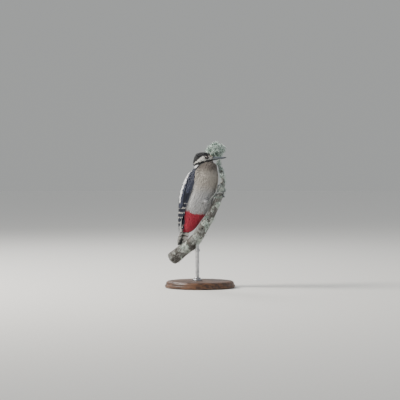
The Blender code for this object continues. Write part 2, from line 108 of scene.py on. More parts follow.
# Links what varies over a surface: its colour, its relief of a depth in metres and, if given, its roughness.
def endMaterial(material, colour, relief, depth, strength=1.0, roughness=None):
    tree = material.node_tree
    normal = addNode(tree, "ShaderNodeBump", {"Height": relief, "Distance": depth, "Strength": strength})
    for key, value in (("Base Color", colour), ("Normal", normal), ("Roughness", roughness)):
        if value is not None:
            tree.links.new(value, tree.nodes["Principled BSDF"].inputs[key])
    return material


# Noise on a piece's own metres, about 1 / scale across, finer along an axis that is stretched more.
def objectNoise(add, scale, detail=3.0, stretch=(1.0, 1.0, 1.0)):
    place = add("ShaderNodeMapping", {"Vector": add("place"), "Scale": stretch})
    look = {"Vector": place, "Scale": scale, "Detail": detail, "Roughness": 0.55}
    return add("ShaderNodeTexNoise", look, take="Fac")


# Lays colours over one another: each one's share follows a value between two levels.
def overlay(add, colour, *layers):
    for value, low, high, start, end, top in layers:
        colour = add("mix", add("ease", value, low, high, start, end), colour, top)
    return colour


def shaded(add, colour, shade):
    return add("tint", 1.0, colour, add("ShaderNodeCombineColor", shade, shade, shade))


def addPiece(name, mesh, material=None):
    piece = bpy.data.objects.new(name, mesh)
    bpy.context.scene.collection.objects.link(piece)
    if material:
        mesh.materials.clear()
        mesh.materials.append(material)
    return piece


def meshFrom(name, points, faces):
    mesh = bpy.data.meshes.new(name)
    mesh.from_pydata([tuple(p) for p in points], [], faces)
    mesh.update()
    mesh.shade_smooth()
    return mesh


# Merges what meets and turns all faces outwards.
def fixNormals(mesh):
    bm = bmesh.new()
    bm.from_mesh(mesh)
    bmesh.ops.remove_doubles(bm, verts=bm.verts[:], dist=1e-7)
    bmesh.ops.recalc_face_normals(bm, faces=bm.faces[:])
    bm.to_mesh(mesh)
    bm.free()
    mesh.shade_smooth()
    return mesh


# Quads between rings of points that follow one another, and back to the first ring in a loop.
def ringFaces(count, sides, first=0, flip=False, loop=False):
    faces = []
    for r in range(count - 1 + loop):
        a, b = first + r * sides, first + (r + 1) % count * sides
        for k in range(sides):
            n = (k + 1) % sides
            faces.append((a + k, b + k, b + n, a + n) if flip else (a + k, a + n, b + n, b + k))
    return faces


def fanFaces(centre, first, sides):
    return [(centre, first + k, first + (k + 1) % sides) for k in range(sides)]


# The two end faces of a run of rings.
def capFaces(first, end, sides):
    return [tuple(range(first, first + sides)), tuple(reversed(range(end - sides, end)))]


def setAttribute(mesh, name, kind, values):
    layer = mesh.attributes.get(name) or mesh.attributes.new(name, kind, "POINT")
    field = {"FLOAT": "value", "FLOAT_VECTOR": "vector", "FLOAT_COLOR": "color"}[kind]
    layer.data.foreach_set(field, np.asarray(values, dtype=np.float32).ravel())


def dropAttributes(mesh, names):
    for name in names:
        if name in mesh.attributes:
            mesh.attributes.remove(mesh.attributes[name])


def readArray(data, field, width=1):
    found = np.empty(len(data) * width, dtype=np.float32)
    data.foreach_get(field, found)
    return found.reshape(-1, width).astype(float) if width > 1 else found.astype(float)


def vertexArray(mesh):
    return readArray(mesh.vertices, "co", 3)


def normalArray(mesh):
    return readArray(mesh.vertex_normals, "vector", 3)


# A plain mesh of what an object's modifiers make, with the modifiers gone.
def applied(piece):
    graph = bpy.context.evaluated_depsgraph_get()
    mesh = bpy.data.meshes.new_from_object(piece.evaluated_get(graph), depsgraph=graph)
    mesh.name = piece.name
    piece.modifiers.clear()
    piece.data = mesh
    return piece


# Finishes a piece: its body and the CAD nodes that it stands for.
def finishPiece(piece, slot, *nodes):
    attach(piece, "root")
    if nodes:
        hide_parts(*nodes)
    count = sum(len(p.vertices) - 2 for p in piece.data.polygons)
    print(f"{piece.name}: {count} triangles")
    return piece


# A finished piece from points in the bird's mm, with numbers that its material reads at each point.
def buildPiece(name, points, faces, finish, slot, *nodes, **numbers):
    mesh = meshFrom(name, toModel(points), faces)
    for key, values in numbers.items():
        setAttribute(mesh, key, "FLOAT", values)
    return finishPiece(addPiece(name, fixNormals(mesh), finish), slot, *nodes)


# Smooth curves through rows of numbers, with the first column as the place along them.
def rowAt(rows, at):
    rows = np.asarray(rows, dtype=float)
    rows = rows[np.argsort(rows[:, 0])]
    keys, values = rows[:, 0], rows[:, 1:]
    at = np.clip(np.atleast_1d(np.asarray(at, dtype=float)), keys[0], keys[-1])
    low = np.clip(np.searchsorted(keys, at, side="right") - 1, 0, len(keys) - 2)
    order = np.arange(len(keys))
    before, after = np.maximum(order - 1, 0), np.minimum(order + 1, len(keys) - 1)
    slopes = (values[after] - values[before]) / (keys[after] - keys[before])[:, None]
    span = (keys[low + 1] - keys[low])[:, None]
    t = (at - keys[low])[:, None] / span
    return (
        (2 * t**3 - 3 * t**2 + 1) * values[low]
        + (t**3 - 2 * t**2 + t) * slopes[low] * span
        + (3 * t**2 - 2 * t**3) * values[low + 1]
        + (t**3 - t**2) * slopes[low + 1] * span
    )


def smoothStep(value, low, high):
    t = np.clip((np.asarray(value, dtype=float) - low) / (high - low), 0.0, 1.0)
    return t * t * (3 - 2 * t)


def within(value, low, high, soft):
    return smoothStep(value, low - soft, low + soft) * (1 - smoothStep(value, high - soft, high + soft))


# A hump of height 1 at 0, and of about a third at 1.
def hump(distance):
    return np.exp(-distance**2)


def unit(vectors):
    return vectors / np.maximum(np.linalg.norm(vectors, axis=-1, keepdims=True), 1e-6)


# The part of each vector that lies across a direction.
def crosswise(vectors, along):
    return vectors - along * np.sum(vectors * along, axis=-1, keepdims=True)


# Slow noise at each point, from about -1 to 1. The grain is its size in mm.
def grainNoise(points, grain, seed=0.0):
    scale = 1 / (grain * mm)
    return np.array([noise.noise(Vector(p) * scale + Vector((seed, seed * 1.7, -seed))) for p in points])


# Places in the model's metres from the bird's mm, and back.
def toModel(points):
    return (np.asarray(points, dtype=float) + (0.0, 0.0, floorDrop)) * mm


def toBird(points):
    return np.asarray(points, dtype=float) / mm - (0.0, 0.0, floorDrop)


# The bird's own measures, in mm: the same stations as its solids.

# Body stations: height, centre forward, centre to the left, depth in front, depth behind, half width.
bodyRows = [
    (74.0, 11.5, 2.5, 10.5, 10.5, 9.0), (68.0, 11.5, 1.5, 22.0, 15.5, 14.8),
    (58.0, 9.5, 0.0, 26.5, 21.5, 21.5),
    (45.0, 5.0, 0.0, 33.0, 27.5, 26.5), (28.0, 0.4, 0.0, 35.5, 31.5, 29.0),
    (9.4, -4.6, 0.0, 35.0, 32.0, 29.5),
    (-9.4, -10.0, 0.0, 31.5, 29.0, 27.5), (-28.0, -16.0, 0.0, 25.0, 24.0, 22.0),
    (-43.0, -22.0, 0.0, 19.5, 16.5, 15.5), (-54.0, -27.5, 0.0, 16.2, 9.6, 10.8),
    (-61.5, -32.0, 0.0, 10.2, 4.8, 6.5),
]
wingBedRows = bodyRows[:7] + [
    (-28.0, -17.5, 0.0, 25.0, 24.8, 23.0), (-43.0, -27.5, 0.0, 17.0, 16.4, 17.5),
    (-55.0, -31.5, 0.0, 12.0, 12.4, 13.4), (-64.0, -34.5, 0.0, 10.0, 10.6, 10.8),
]
# Folded wing: height, its lower and upper edge in degrees round from the middle of the back, its thickness.
wingRows = [
    (62.0, 92.0, 76.0, 0.8), (57.0, 101.0, 56.0, 2.0), (44.0, 105.0, 44.0, 2.7), (28.0, 98.0, 35.0, 3.0),
    (8.0, 88.0, 27.0, 3.0), (-12.0, 80.0, 17.0, 2.8), (-28.0, 77.0, 10.0, 2.6), (-43.0, 80.0, 7.0, 2.2),
    (-55.0, 56.0, 8.0, 1.7), (-62.5, 28.0, 14.0, 1.0),
]
# Front border of the dark wing, where the breast's feathers cover it: height, degrees.
wingFront = [
    (62, 86), (57, 87), (52.6, 90), (45, 95), (37.6, 98), (30, 98), (22, 97), (15, 92), (7.5, 86.5),
    (0, 82), (-8, 82),
]
# Front border of the black bar on the neck's side, which widens up to the black stripe: height, degrees.
neckFront = [(57, 84), (60.2, 85), (65.8, 93), (69.6, 107), (73, 122), (78, 130)]
head = {
    "base": np.array([24.6, 7.7, 77.4]),  # of the bill
    "turn": math.radians(28),
    "tilt": math.radians(5),
    "eye": (-10.6, 7.8, 4.2),  # forward of the bill's base, to the side, up
}
headForward = np.array([
    math.cos(head["turn"]) * math.cos(head["tilt"]),
    math.sin(head["turn"]) * math.cos(head["tilt"]),
    math.sin(head["tilt"]),
])
headLeft = np.array([-math.sin(head["turn"]), math.cos(head["turn"]), 0.0])
headUp = np.cross(headForward, headLeft)


# A point over the body: degrees run round from the middle of the back, towards the bird's left.
def hullPoint(rows, height, degrees, lift):
    row = rowAt(rows, height)
    angle = np.radians(degrees)
    depth = np.where(np.cos(angle) > 0, row[:, 3], row[:, 2])
    return np.stack([
        row[:, 0] - (depth + lift) * np.cos(angle),
        row[:, 1] + (row[:, 4] + lift) * np.sin(angle),
        np.broadcast_to(height, angle.shape),
    ], axis=-1)


# Places on the body, as shares of its size there: forward and to the side of its middle.
def bodyPlace(bird):
    row = rowAt(bodyRows, bird[:, 2])
    forward = bird[:, 0] - row[:, 0]
    return forward / np.where(forward < 0, row[:, 3], row[:, 2]), (bird[:, 1] - row[:, 1]) / row[:, 4]


# Degrees round the body from the middle of the back, the same on both sides.
def bodyAngle(bird):
    forward, side = bodyPlace(bird)
    return np.degrees(np.arctan2(np.abs(side), -forward))


# Places on the head: back from the bill's base, out to the side, and up.
def headPlace(bird):
    offset = bird - head["base"]
    return -(offset @ headForward), offset @ headLeft, offset @ headUp


# Plumage colours.

plumage = {
    "capBlack": "#14161b",
    "backBlack": "#181d29",
    # the wing's blue-black: partly its own colour, partly a painted sheen of blue sky
    "wingBlackSheen": "#171f36",
    "cheekWhite": "#d9d8d2",
    "scapularWhite": "#e6e7ea",
    "foreheadBuff": "#bcb09a",
    # the throat's own buff, darkened with painted shade from under the head
    "throatBuffShaded": "#67605a",
    "breastBuff": "#9b958d",
    "bellyGrey": "#a4a4a6",
    # painted highlight for the lit flank beside the wing
    "flankHighlight": "#cfcfcf",
    "ventRed": "#9c2036",
}
plumage = {name: np.array(linear(colour)) for name, colour in plumage.items()}
# Borders on the side of the head: mm behind the bill's base, mm up.
capBorder = [
    (-3, 3.6), (4, 5.6), (10, 6.9), (14, 7.2), (18, 6.4), (22.5, 3.4), (27, 0.8), (32.8, -3.0),
    (36, -5.0), (40, -9),
]
cheekBorder = [
    (-3, 0.8), (0, 0.2), (4.4, -0.8), (8, -1.2), (14, -2.4), (23, -3.4), (27, -3.7), (31, -4.2),
    (36, -6), (40, -8),
]
moustacheBorder = [(-3, -2.4), (0, -3.6), (6, -6.3), (15.7, -8.4), (25, -10.2), (33, -13.0), (40, -18.0)]


# The colour of the plumage, and how glossy it is, at each point of the bird.
def markings(bird, wobble):
    height = bird[:, 2]
    angle = bodyAngle(bird)
    colour = np.tile(plumage["breastBuff"], (len(bird), 1))
    gloss = np.zeros(len(bird))

    def paint(amount, name, shine=0.0):
        nonlocal colour, gloss
        amount = np.clip(amount, 0, 1)
        colour = colour * (1 - amount[:, None]) + plumage[name] * amount[:, None]
        gloss = gloss * (1 - amount) + shine * amount

    # under parts: buff breast, paler belly, crimson vent with a ragged upper border
    # the throat is darker: its buff with painted shade under the head
    paint(smoothStep(height, 52, 63), "throatBuffShaded")
    paint(1 - smoothStep(height, 8, 34), "bellyGrey")
    # painted highlight: a paler strip on the flank along the wing's front edge, where the light falls
    paint(0.75 * within(angle + 3 * wobble, 80, 104, 9) * within(height, -10, 36, 9), "flankHighlight")
    redLine = -17 - 7 * smoothStep(angle, 84, 130) + 3.0 * wobble
    paint(1 - smoothStep(height, redLine - 2.2, redLine + 2.2), "ventRed", 0.1)
    # back, rump and folded wings
    darkEdge = rowAt(wingRows, height)[:, 0] + 1.0 - 10 * smoothStep(-height, 40, 52)
    darkEdge = np.where(height > -8, rowAt(wingFront, height)[:, 0], darkEdge)
    darkEdge = np.where(height > 60, 34.0, darkEdge)
    # the folded wings' black carries a painted blue sheen
    paint(1 - smoothStep(angle + 1.5 * wobble, darkEdge - 2, darkEdge + 2), "wingBlackSheen", 1.0)
    paint(1 - smoothStep(angle + 3 * wobble, 44, 50), "backBlack", 1.0)
    # white shoulder patch
    narrow = 3 + 4.5 * smoothStep(height, -4, 14) * (1 - smoothStep(height, 36, 58))
    middle = 54 + 3 * smoothStep(height, 0, 40)
    patch = within(angle + 3 * wobble, middle - narrow, middle + narrow, 2.0) * within(height, -3, 54, 2.0)
    paint(patch, "scapularWhite", 0.15)
    # side of the neck: a black bar down to the shoulder, a white patch behind it
    barEdge = rowAt(neckFront, height)[:, 0]
    bar = 1 - smoothStep(angle, barEdge - 2.5, barEdge + 2.5)
    paint(smoothStep(height, 57, 59.5) * bar, "capBlack", 0.7)
    paint(within(angle + 2 * wobble, 37, 68, 2.5) * within(height, 60.0, 67.5, 0.8), "scapularWhite", 0.1)

    # head: buff throat darkened with painted shade, black stripe, white cheek, black cap, buff forehead
    back, _, up = headPlace(bird)
    up = up + 0.5 * wobble
    onHead = smoothStep(height + 0.30 * back, 74.5, 76.5) * (back < 45)
    cheekTop, cheekLow, stripeLow = (
        rowAt(rows, back)[:, 0] for rows in (capBorder, cheekBorder, moustacheBorder)
    )
    paint(onHead * (1 - smoothStep(up, stripeLow - 0.6, stripeLow + 0.6)), "throatBuffShaded")
    paint(onHead * smoothStep(up, stripeLow - 0.5, stripeLow + 0.5), "capBlack", 0.7)
    cheek = smoothStep(up, cheekLow - 0.5, cheekLow + 0.5)
    cheek *= 1 - smoothStep(up, cheekTop - 0.5, cheekTop + 0.5)
    paint(onHead * cheek * (1 - smoothStep(back, 34.4, 36.2)), "cheekWhite")
    paint(onHead * (1 - smoothStep(back, 4.6, 5.8)) * smoothStep(up, 2.8, 4.0), "foreheadBuff")
    return colour, gloss


# Which way the feathers lie: back from the bill over the head, then down the body to the tail.
def featherLie(bird, normals):
    back, _, up = headPlace(bird)
    onHead = smoothStep(bird[:, 2] + 0.25 * back, 70, 84)[:, None]
    overHead = -headForward + 0.30 * headUp * smoothStep(-back, -14, 0)[:, None] * np.sign(up)[:, None]
    overHead = overHead - headUp * smoothStep(back, 18, 34)[:, None]
    down = np.array([-0.30, 0.0, -0.95])
    return unit(crosswise(overHead * onHead + down * (1 - onHead), normals))


# Skin: one closed surface under all the feathers.

skinSizes = {
    "swell": 0.45 * mm,  # closes the thin cuts between the solids
    "voxel": 0.95 * mm,
    "softenTurns": 7,
    "wingEnd": -37.0,  # below this height, in mm, the folded wing is only feathers
    "bodyCoat": 1.5 * mm,
    "headCoat": 0.95 * mm,
    "faceCoat": 0.45 * mm,
}


def makeSkin():
    joined = bmesh.new()
    for name in ("head", "neck", "trunk", "thigh_left", "thigh_right", "wing_left", "wing_right"):
        part = bmesh.new()
        part.from_mesh(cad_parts[name].data)
        bmesh.ops.remove_doubles(part, verts=part.verts[:], dist=1e-6)
        part.normal_update()
        if name.startswith("wing"):
            cut = bmesh.ops.bisect_plane(
                part, geom=part.verts[:] + part.edges[:] + part.faces[:], clear_outer=True,
                plane_co=(0, 0, (skinSizes["wingEnd"] + floorDrop) * mm), plane_no=(0, 0, -1),
            )
            edges = [e for e in cut["geom_cut"] if isinstance(e, bmesh.types.BMEdge)]
            bmesh.ops.contextual_create(part, geom=edges)
            part.normal_update()
        for vert in part.verts:
            vert.co += vert.normal * skinSizes["swell"]
        held = bpy.data.meshes.new("held")
        part.to_mesh(held)
        part.free()
        joined.from_mesh(held)
        bpy.data.meshes.remove(held)
    mesh = bpy.data.meshes.new("skin")
    joined.to_mesh(mesh)
    joined.free()
    skin = addPiece("skin", mesh)
    remesh = skin.modifiers.new("remesh", "REMESH")
    remesh.mode = "VOXEL"
    remesh.voxel_size = skinSizes["voxel"]
    soften = skin.modifiers.new("soften", "SMOOTH")
    soften.factor = 0.5
    soften.iterations = skinSizes["softenTurns"]
    applied(skin)
    # sink it by the depth of the coat
    points, normals = vertexArray(skin.data), normalArray(skin.data)
    bird = toBird(points)
    back = headPlace(bird)[0]
    onHead = smoothStep(bird[:, 2] + 0.3 * back, 70, 80)
    face = onHead * (1 - smoothStep(back, 3, 14))
    coat = skinSizes["bodyCoat"] * (1 - onHead) + skinSizes["headCoat"] * onHead
    coat = coat * (1 - face) + skinSizes["faceCoat"] * face
    points -= normals * (coat + skinSizes["swell"])[:, None]
    skin.data.vertices.foreach_set("co", points.ravel().astype(np.float32))
    skin.data.update()
    skin.data.shade_smooth()
    print("skin built")
    return skin


# Marks on the skin what the feathers need: which way they lie, where each kind grows, and their colours.
def markSkin(skin):
    mesh = skin.data
    points, normals = vertexArray(mesh), normalArray(mesh)
    bird = toBird(points)
    height, angle = bird[:, 2], bodyAngle(bird)
    back, side, up = headPlace(bird)
    reach = np.hypot(*bodyPlace(bird))
    thigh = (reach > 1.03) & (angle > 112) & (np.abs(height) < 22)
    thigh &= bird[:, 0] - rowAt(bodyRows, height)[:, 0] > 8
    alongThigh = crosswise(np.array([0.95, 0.0, -0.30]), normals)
    blend = (smoothStep(reach, 0.99, 1.10) * (angle > 108) * (np.abs(height) < 24))[:, None]
    lie = unit(featherLie(bird, normals) * (1 - blend) + alongThigh * blend)

    onHead = height + 0.30 * back > 75.5
    eyeGap = np.minimum(*(
        np.linalg.norm(np.stack([-back, side * s, up], axis=1) - head["eye"], axis=1) for s in (1, -1)
    ))
    bare = (eyeGap < 3.3) | ((back < 0.3) & onHead)
    wingEdges = rowAt(wingRows, height)
    onWing = (angle < wingEdges[:, 0] + 1.5) & (angle > wingEdges[:, 1] - 1) & (height < 61) & ~onHead
    onWing &= height > skinSizes["wingEnd"] + 1
    onWing &= (angle < rowAt(wingFront, height)[:, 0]) | (height < 2)
    scapular = within(angle, 40, 72, 2) * within(height, -6, 57, 2) > 0.5
    belly = ~onHead & ~onWing & ~thigh & (angle > 60)
    face = onHead & (back < 9.5)
    where = {
        "face": face,
        "crown": onHead & ~face & (back < 44),
        "neck": ~onHead & ~onWing & (height > 55) & ~scapular,
        "breast": belly & (height <= 55) & (height > 18),
        "belly": belly & (height <= 18) & (height > -24),
        "vent": belly & (height <= -24),
        "back": ~onHead & ~onWing & ~thigh & (angle <= 60) & (height <= 55) & ~scapular,
        "rump": (angle <= 58) & (height <= -41),
        "scapular": scapular & ~onHead,
        "covert": onWing & ~scapular & (height > 2),
        "thigh": thigh,
        "bristle": onHead & (back < 2.6) & (back > 0.2) & (up > -1.5),
    }
    for name, share in where.items():
        setAttribute(mesh, name, "FLOAT", share & ~bare)
    colour, gloss = markings(bird, grainNoise(points, 7.0))
    setAttribute(mesh, "lie", "FLOAT_VECTOR", lie)
    setAttribute(mesh, "outward", "FLOAT_VECTOR", normals)
    setAttribute(mesh, "tint", "FLOAT_COLOR", np.hstack([colour, np.ones((len(colour), 1))]))
    setAttribute(mesh, "gloss", "FLOAT", gloss)
    # unwrap of the skin's own shape, which the feathers' maps are laid out on
    bpy.context.view_layer.objects.active = skin
    skin.select_set(True)
    bpy.ops.object.mode_set(mode="EDIT")
    bpy.ops.mesh.select_all(action="SELECT")
    bpy.ops.uv.smart_project(angle_limit=math.radians(66), island_margin=0.002)
    bpy.ops.object.mode_set(mode="OBJECT")
    mesh.uv_layers[0].name = "OFBake"
    skin.select_set(False)


# Plumage material.

plumageFinish = {
    "barbSpacing": 0.3,  # mm between the fine lines of a feather
    "barbSlope": 1.3,
    "rootShade": 0.74,  # the hidden downy root is darker: partly its greyer down, partly painted shade under the feather over it
    "roughMatt": 0.82,
    "roughGlossy": 0.46,
}


# Contour feathers: matt, velvety vanes with fine slanting barbs, and a cool silky gloss on the black ones.
def plumageMaterial():
    look = plumageFinish
    material, add = startMaterial(
        "feather, soft barbed vane", Sheen_Weight=0.12, Sheen_Roughness=0.45, Specular_IOR_Level=0.32
    )
    run, spread, share, gloss = [
        add("value", attribute_name=key) for key in ("run", "spread", "along", "gloss")
    ]
    # barbs slant forward from the shaft to both edges
    slant = add("multiply", add("absolute", spread), look["barbSlope"])
    phase = add("multiply", add("subtract", run, slant), fullTurn / look["barbSpacing"])
    barbs = add("multiply_add", add("sine", phase), 0.5, 0.5)
    clumps = objectNoise(add, 900)  # barbs that stick together, about a millimetre apart
    # painted shade: each feather darkens towards its root, under the feather that lies over it
    shade = add("ease", share, 0.0, 0.55, look["rootShade"], 1.0)
    shade = add("multiply", shade, add("ease", clumps, 0.3, 0.7, 0.88, 1.1))
    shade = add("multiply", shade, add("ease", barbs, 0.0, 1.0, 0.9, 1.06))
    shaft = add("ease", add("absolute", spread), 0.0, 0.22, 1.0, 0.0)
    relief = add("multiply_add", clumps, 0.5, add("multiply_add", shaft, 0.6, add("multiply", barbs, 0.35)))
    rough = add("ease", gloss, 0.0, 1.0, look["roughMatt"], look["roughGlossy"])
    colour = shaded(add, add("colour", attribute_name="tint"), shade)
    return endMaterial(material, colour, relief, 0.10 * mm, 0.7, rough)


# Skin seen between feathers: the same markings, darkened as painted shade in the gaps, with a downy grain
# about half a millimetre across.
def skinMaterial():
    material, add = startMaterial("skin under feathers, downy", Roughness=0.9, Specular_IOR_Level=0.15)
    grain = objectNoise(add, 2200, 4.0)
    # painted shade: the markings dimmed to about a third to two thirds where skin shows between feathers
    colour = shaded(add, add("colour", attribute_name="tint"), add("ease", grain, 0.3, 0.7, 0.32, 0.62))
    return endMaterial(material, colour, grain, 0.25 * mm)


# Contour feathers.

# The unit feather lies along X from its root at 0 to its tip at 1.
vaneKinds = {
    # name: half width, place of the widest part, arch across, loose barb tips
    "tight": (0.31, 0.62, 0.35, 0),
    "round": (0.34, 0.66, 0.30, 3),
    "loose": (0.20, 0.54, 0.22, 7),
    "strand": (0.055, 0.40, 0.10, 2),
}
vaneRings = (0.16, 0.36, 0.57, 0.76, 0.90, 0.965)
vaneThickness = 0.018


def makeVane(name, seed):
    halfWidth, widest, arch, loose = vaneKinds[name]
    rng = random.Random(seed)
    lean = rng.uniform(-0.05, 0.05)
    points = [(0.0, 0.0, 0.0)]
    for t in vaneRings:
        if t < widest:
            width = halfWidth * (0.22 + 0.78 * math.sin(0.5 * math.pi * t / widest) ** 1.2)
        else:
            width = halfWidth * math.sqrt(max(1 - ((t - widest) / (1.0 - widest)) ** 2.2, 0.0))
        width *= rng.uniform(0.93, 1.05)
        middle, drop = lean * t * t, arch * width * width * 2
        points += [
            (t, middle - width, -drop), (t + 0.01, middle, vaneThickness),
            (t, middle + width, -drop), (t, middle, -vaneThickness * 0.6),
        ]
    points.append((1.0, lean, 0.0))
    last = len(points) - 1
    faces = fanFaces(0, 1, 4) + fanFaces(last, last - 4, 4) + ringFaces(len(vaneRings), 4, 1)
    # loose barb ends: slender points that stand out past the edge near the tip
    for k in range(loose):
        fan = (k + 0.5) / loose * 2 - 1
        start = 0.60 + 0.16 * (1 - abs(fan))
        y = lean + fan * halfWidth * 0.78
        tip = (1.10 - 0.12 * abs(fan) + rng.uniform(-0.06, 0.08), y * 1.3 + rng.uniform(-0.03, 0.03), -0.01)
        wide, n = halfWidth * 0.11, len(points)
        points += [(start, y - wide, -0.01), (start, y + wide, -0.01), (start, y, 0.016), tip]
        faces += [(n, n + 1, n + 2), (n + 1, n, n + 3), (n + 2, n + 1, n + 3), (n, n + 2, n + 3)]
    mesh = fixNormals(meshFrom(f"vane_{name}_{seed}", points, faces))
    for key, values in zip(("along", "across", "thick"), vertexArray(mesh).T):
        setAttribute(mesh, key, "FLOAT", values)
    return mesh


def partCollection(name, meshes):
    group = bpy.data.collections.new(name)
    for k, mesh in enumerate(meshes):
        group.objects.link(bpy.data.objects.new(f"{name}_{k}", mesh))
    return group


# Starts a group of geometry nodes: it is given a surface, three parts, their finish, and named values.
def startGroup(name, **values):
    tree = bpy.data.node_groups.new(name, "GeometryNodeTree")
    kinds = {"Surface": "Geometry", "Parts": "Collection", "Finish": "Material"}
    plain = {float: "Float", int: "Int", str: "String"}
    kinds.update((key, plain[type(value)]) for key, value in values.items())
    for key, kind in kinds.items():
        socket = tree.interface.new_socket(key, in_out="INPUT", socket_type=f"NodeSocket{kind}")
        if key in values:
            socket.default_value = values[key]
    tree.interface.new_socket("Shape", in_out="OUTPUT", socket_type="NodeSocketGeometry")
    add = partial(addNode, tree)
    return tree, add, add("NodeGroupInput").node.outputs


# Points spread evenly over the surface, where its region's value is high.
def spreadPoints(add, given):
    rule = {
        "Mesh": given["Surface"], "Distance Min": given["Spacing"], "Density Max": 4.0e6,
        "Density Factor": add("read", given["Region"]), "Seed": given["Seed"],
    }
    return add("GeometryNodeDistributePointsOnFaces", rule, distribute_method="POISSON")


# Puts one of the three parts on each point, stood up along one direction and turned towards another.
def placeParts(add, given, points, upright, towards, size):
    turned = add("turnTo", towards, add("turnTo", upright, axis="Z"), axis="X", pivot_axis="Z")
    source = {"Collection": given["Parts"], "Separate Children": True, "Reset Children": True}
    return add("GeometryNodeInstanceOnPoints", {
        "Points": points, "Instance": add("GeometryNodeCollectionInfo", source), "Pick Instance": True,
        "Instance Index": add("randomWhole", 0, 2, given["Seed"]), "Rotation": turned, "Scale": size,
    })


# Ends a group: real faces with their finish.
def endGroup(add, given, shape):
    real = add("GeometryNodeRealizeInstances", shape)
    add("NodeGroupOutput", add("GeometryNodeSetMaterial", {"Geometry": real, "Material": given["Finish"]}))


# Grows feathers on a skin: roots spread evenly, each one turned to lie along the body and bent to follow it.
def coatTree():
    tree, add, given = startGroup(
        "featherCoat", Spacing=2 * mm, Length=8 * mm, Lift=1 * mm, Splay=0.15, Seed=1, Region="breast"
    )
    flow = spreadPoints(add, given)
    # each root keeps its place, its direction, its own length and its place on the skin's map
    jitter = add("randomVector", (-1, -1, -1), (1, 1, 1), given["Seed"])
    lie = add("sum", add("readVector", "lie"), add("scale", jitter, given["Splay"]))
    length = add("multiply", add("random", 0.84, 1.14, given["Seed"]), given["Length"])
    for name, kind, value in (
        ("root", "FLOAT_VECTOR", add("GeometryNodeInputPosition")), ("way", "FLOAT_VECTOR", lie),
        ("long", "FLOAT", length), ("rootMap", "FLOAT_VECTOR", add("readVector", "OFBake")),
        ("one", "FLOAT", add("random", 0.0, 1.0, 7)),
    ):
        kept = {"Geometry": flow, "Name": name, "Value": value}
        flow = add("GeometryNodeStoreNamedAttribute", kept, data_type=kind, domain="POINT")
    size = add("read", "long")
    placed = placeParts(add, given, flow, add("readVector", "outward"), add("readVector", "way"), size)
    coat = add("GeometryNodeRealizeInstances", placed)
    # bend each feather over the skin: nearest place on it, then out by the lift and the vane's own thickness
    nearest = add("GeometryNodeProximity", given["Surface"], target_element="FACES", take="Position")
    sampled = {"Mesh": given["Surface"], "Value": add("readVector", "outward")}
    outward = add("GeometryNodeSampleNearestSurface", sampled, data_type="FLOAT_VECTOR")
    rise = add("power", add("maximum", add("read", "along"), 0.0), 0.8)
    uneven = add("multiply", add("subtract", add("read", "one"), 0.5), 0.35)
    rise = add("multiply", add("multiply_add", uneven, rise, rise), given["Lift"])
    height = add("multiply_add", add("read", "thick"), size, rise)
    bent = add("sum", nearest, add("scale", outward, height))
    coat = add("GeometryNodeSetPosition", {"Geometry": coat, "Position": bent})
    # map: a small patch for each feather at its root's place on the skin's map
    cell = add("scale", add("ShaderNodeCombineXYZ", add("read", "along"), add("read", "across")), 0.003)
    kept = {"Geometry": coat, "Name": "OFBake", "Value": add("sum", add("readVector", "rootMap"), cell)}
    endGroup(add, given, add("GeometryNodeStoreNamedAttribute", kept, data_type="FLOAT2", domain="CORNER"))
    return tree


# Runs a tree on an object, with its inputs found by name, and keeps the result as a plain mesh.
def runTree(piece, tree, **values):
    modifier = piece.modifiers.new(tree.name, "NODES")
    modifier.node_group = tree
    for item in tree.interface.items_tree:
        if item.item_type == "SOCKET" and item.in_out == "INPUT" and item.name in values:
            modifier[item.identifier] = values[item.name]
    piece.update_tag()
    return applied(piece)


coatRegions = {
    # name: spacing mm, length mm, lift mm, splay, kind of vane
    "face": (0.62, 2.2, 0.38, 0.22, "loose"),
    "crown": (0.85, 3.6, 0.75, 0.16, "loose"),
    "neck": (1.10, 6.2, 1.0, 0.18, "loose"),
    "breast": (1.25, 9.0, 0.85, 0.20, "loose"),
    "belly": (1.30, 9.8, 0.95, 0.22, "loose"),
    "vent": (1.25, 9.0, 1.00, 0.20, "loose"),
    "back": (1.70, 8.0, 1.25, 0.12, "round"),
    "rump": (1.50, 12.0, 2.60, 0.14, "round"),
    "scapular": (2.00, 10.5, 2.30, 0.12, "round"),
    "covert": (1.75, 6.6, 1.20, 0.07, "tight"),
    "thigh": (0.95, 6.2, 1.00, 0.20, "loose"),
    "bristle": (0.42, 5.2, 0.90, 0.22, "strand"),
}
coatSlots = {name: "black_plumage" for name in ("crown", "neck", "back", "rump", "scapular", "covert")}


def growCoat(skin, tree, finish):
    groups = {}
    for name in vaneKinds:
        groups[name] = partCollection(f"vanes_{name}", [makeVane(name, k) for k in (1, 2, 3)])
    for seed, (name, (spacing, length, lift, splay, kind)) in enumerate(coatRegions.items(), 11):
        coat = addPiece(f"feathers_{name}", skin.data.copy())
        if name == "bristle":  # these lie forward over the nostrils, away from the face
            ahead = np.tile(headForward, (len(coat.data.vertices), 1))
            setAttribute(coat.data, "lie", "FLOAT_VECTOR", ahead)
        runTree(
            coat, tree, Spacing=spacing * mm, Length=length * mm, Lift=lift * mm, Splay=splay, Seed=seed,
            Region=name, Parts=groups[kind], Finish=finish,
        )
        paintCoat(coat.data)
        finishPiece(coat, coatSlots.get(name, "buff_plumage"))


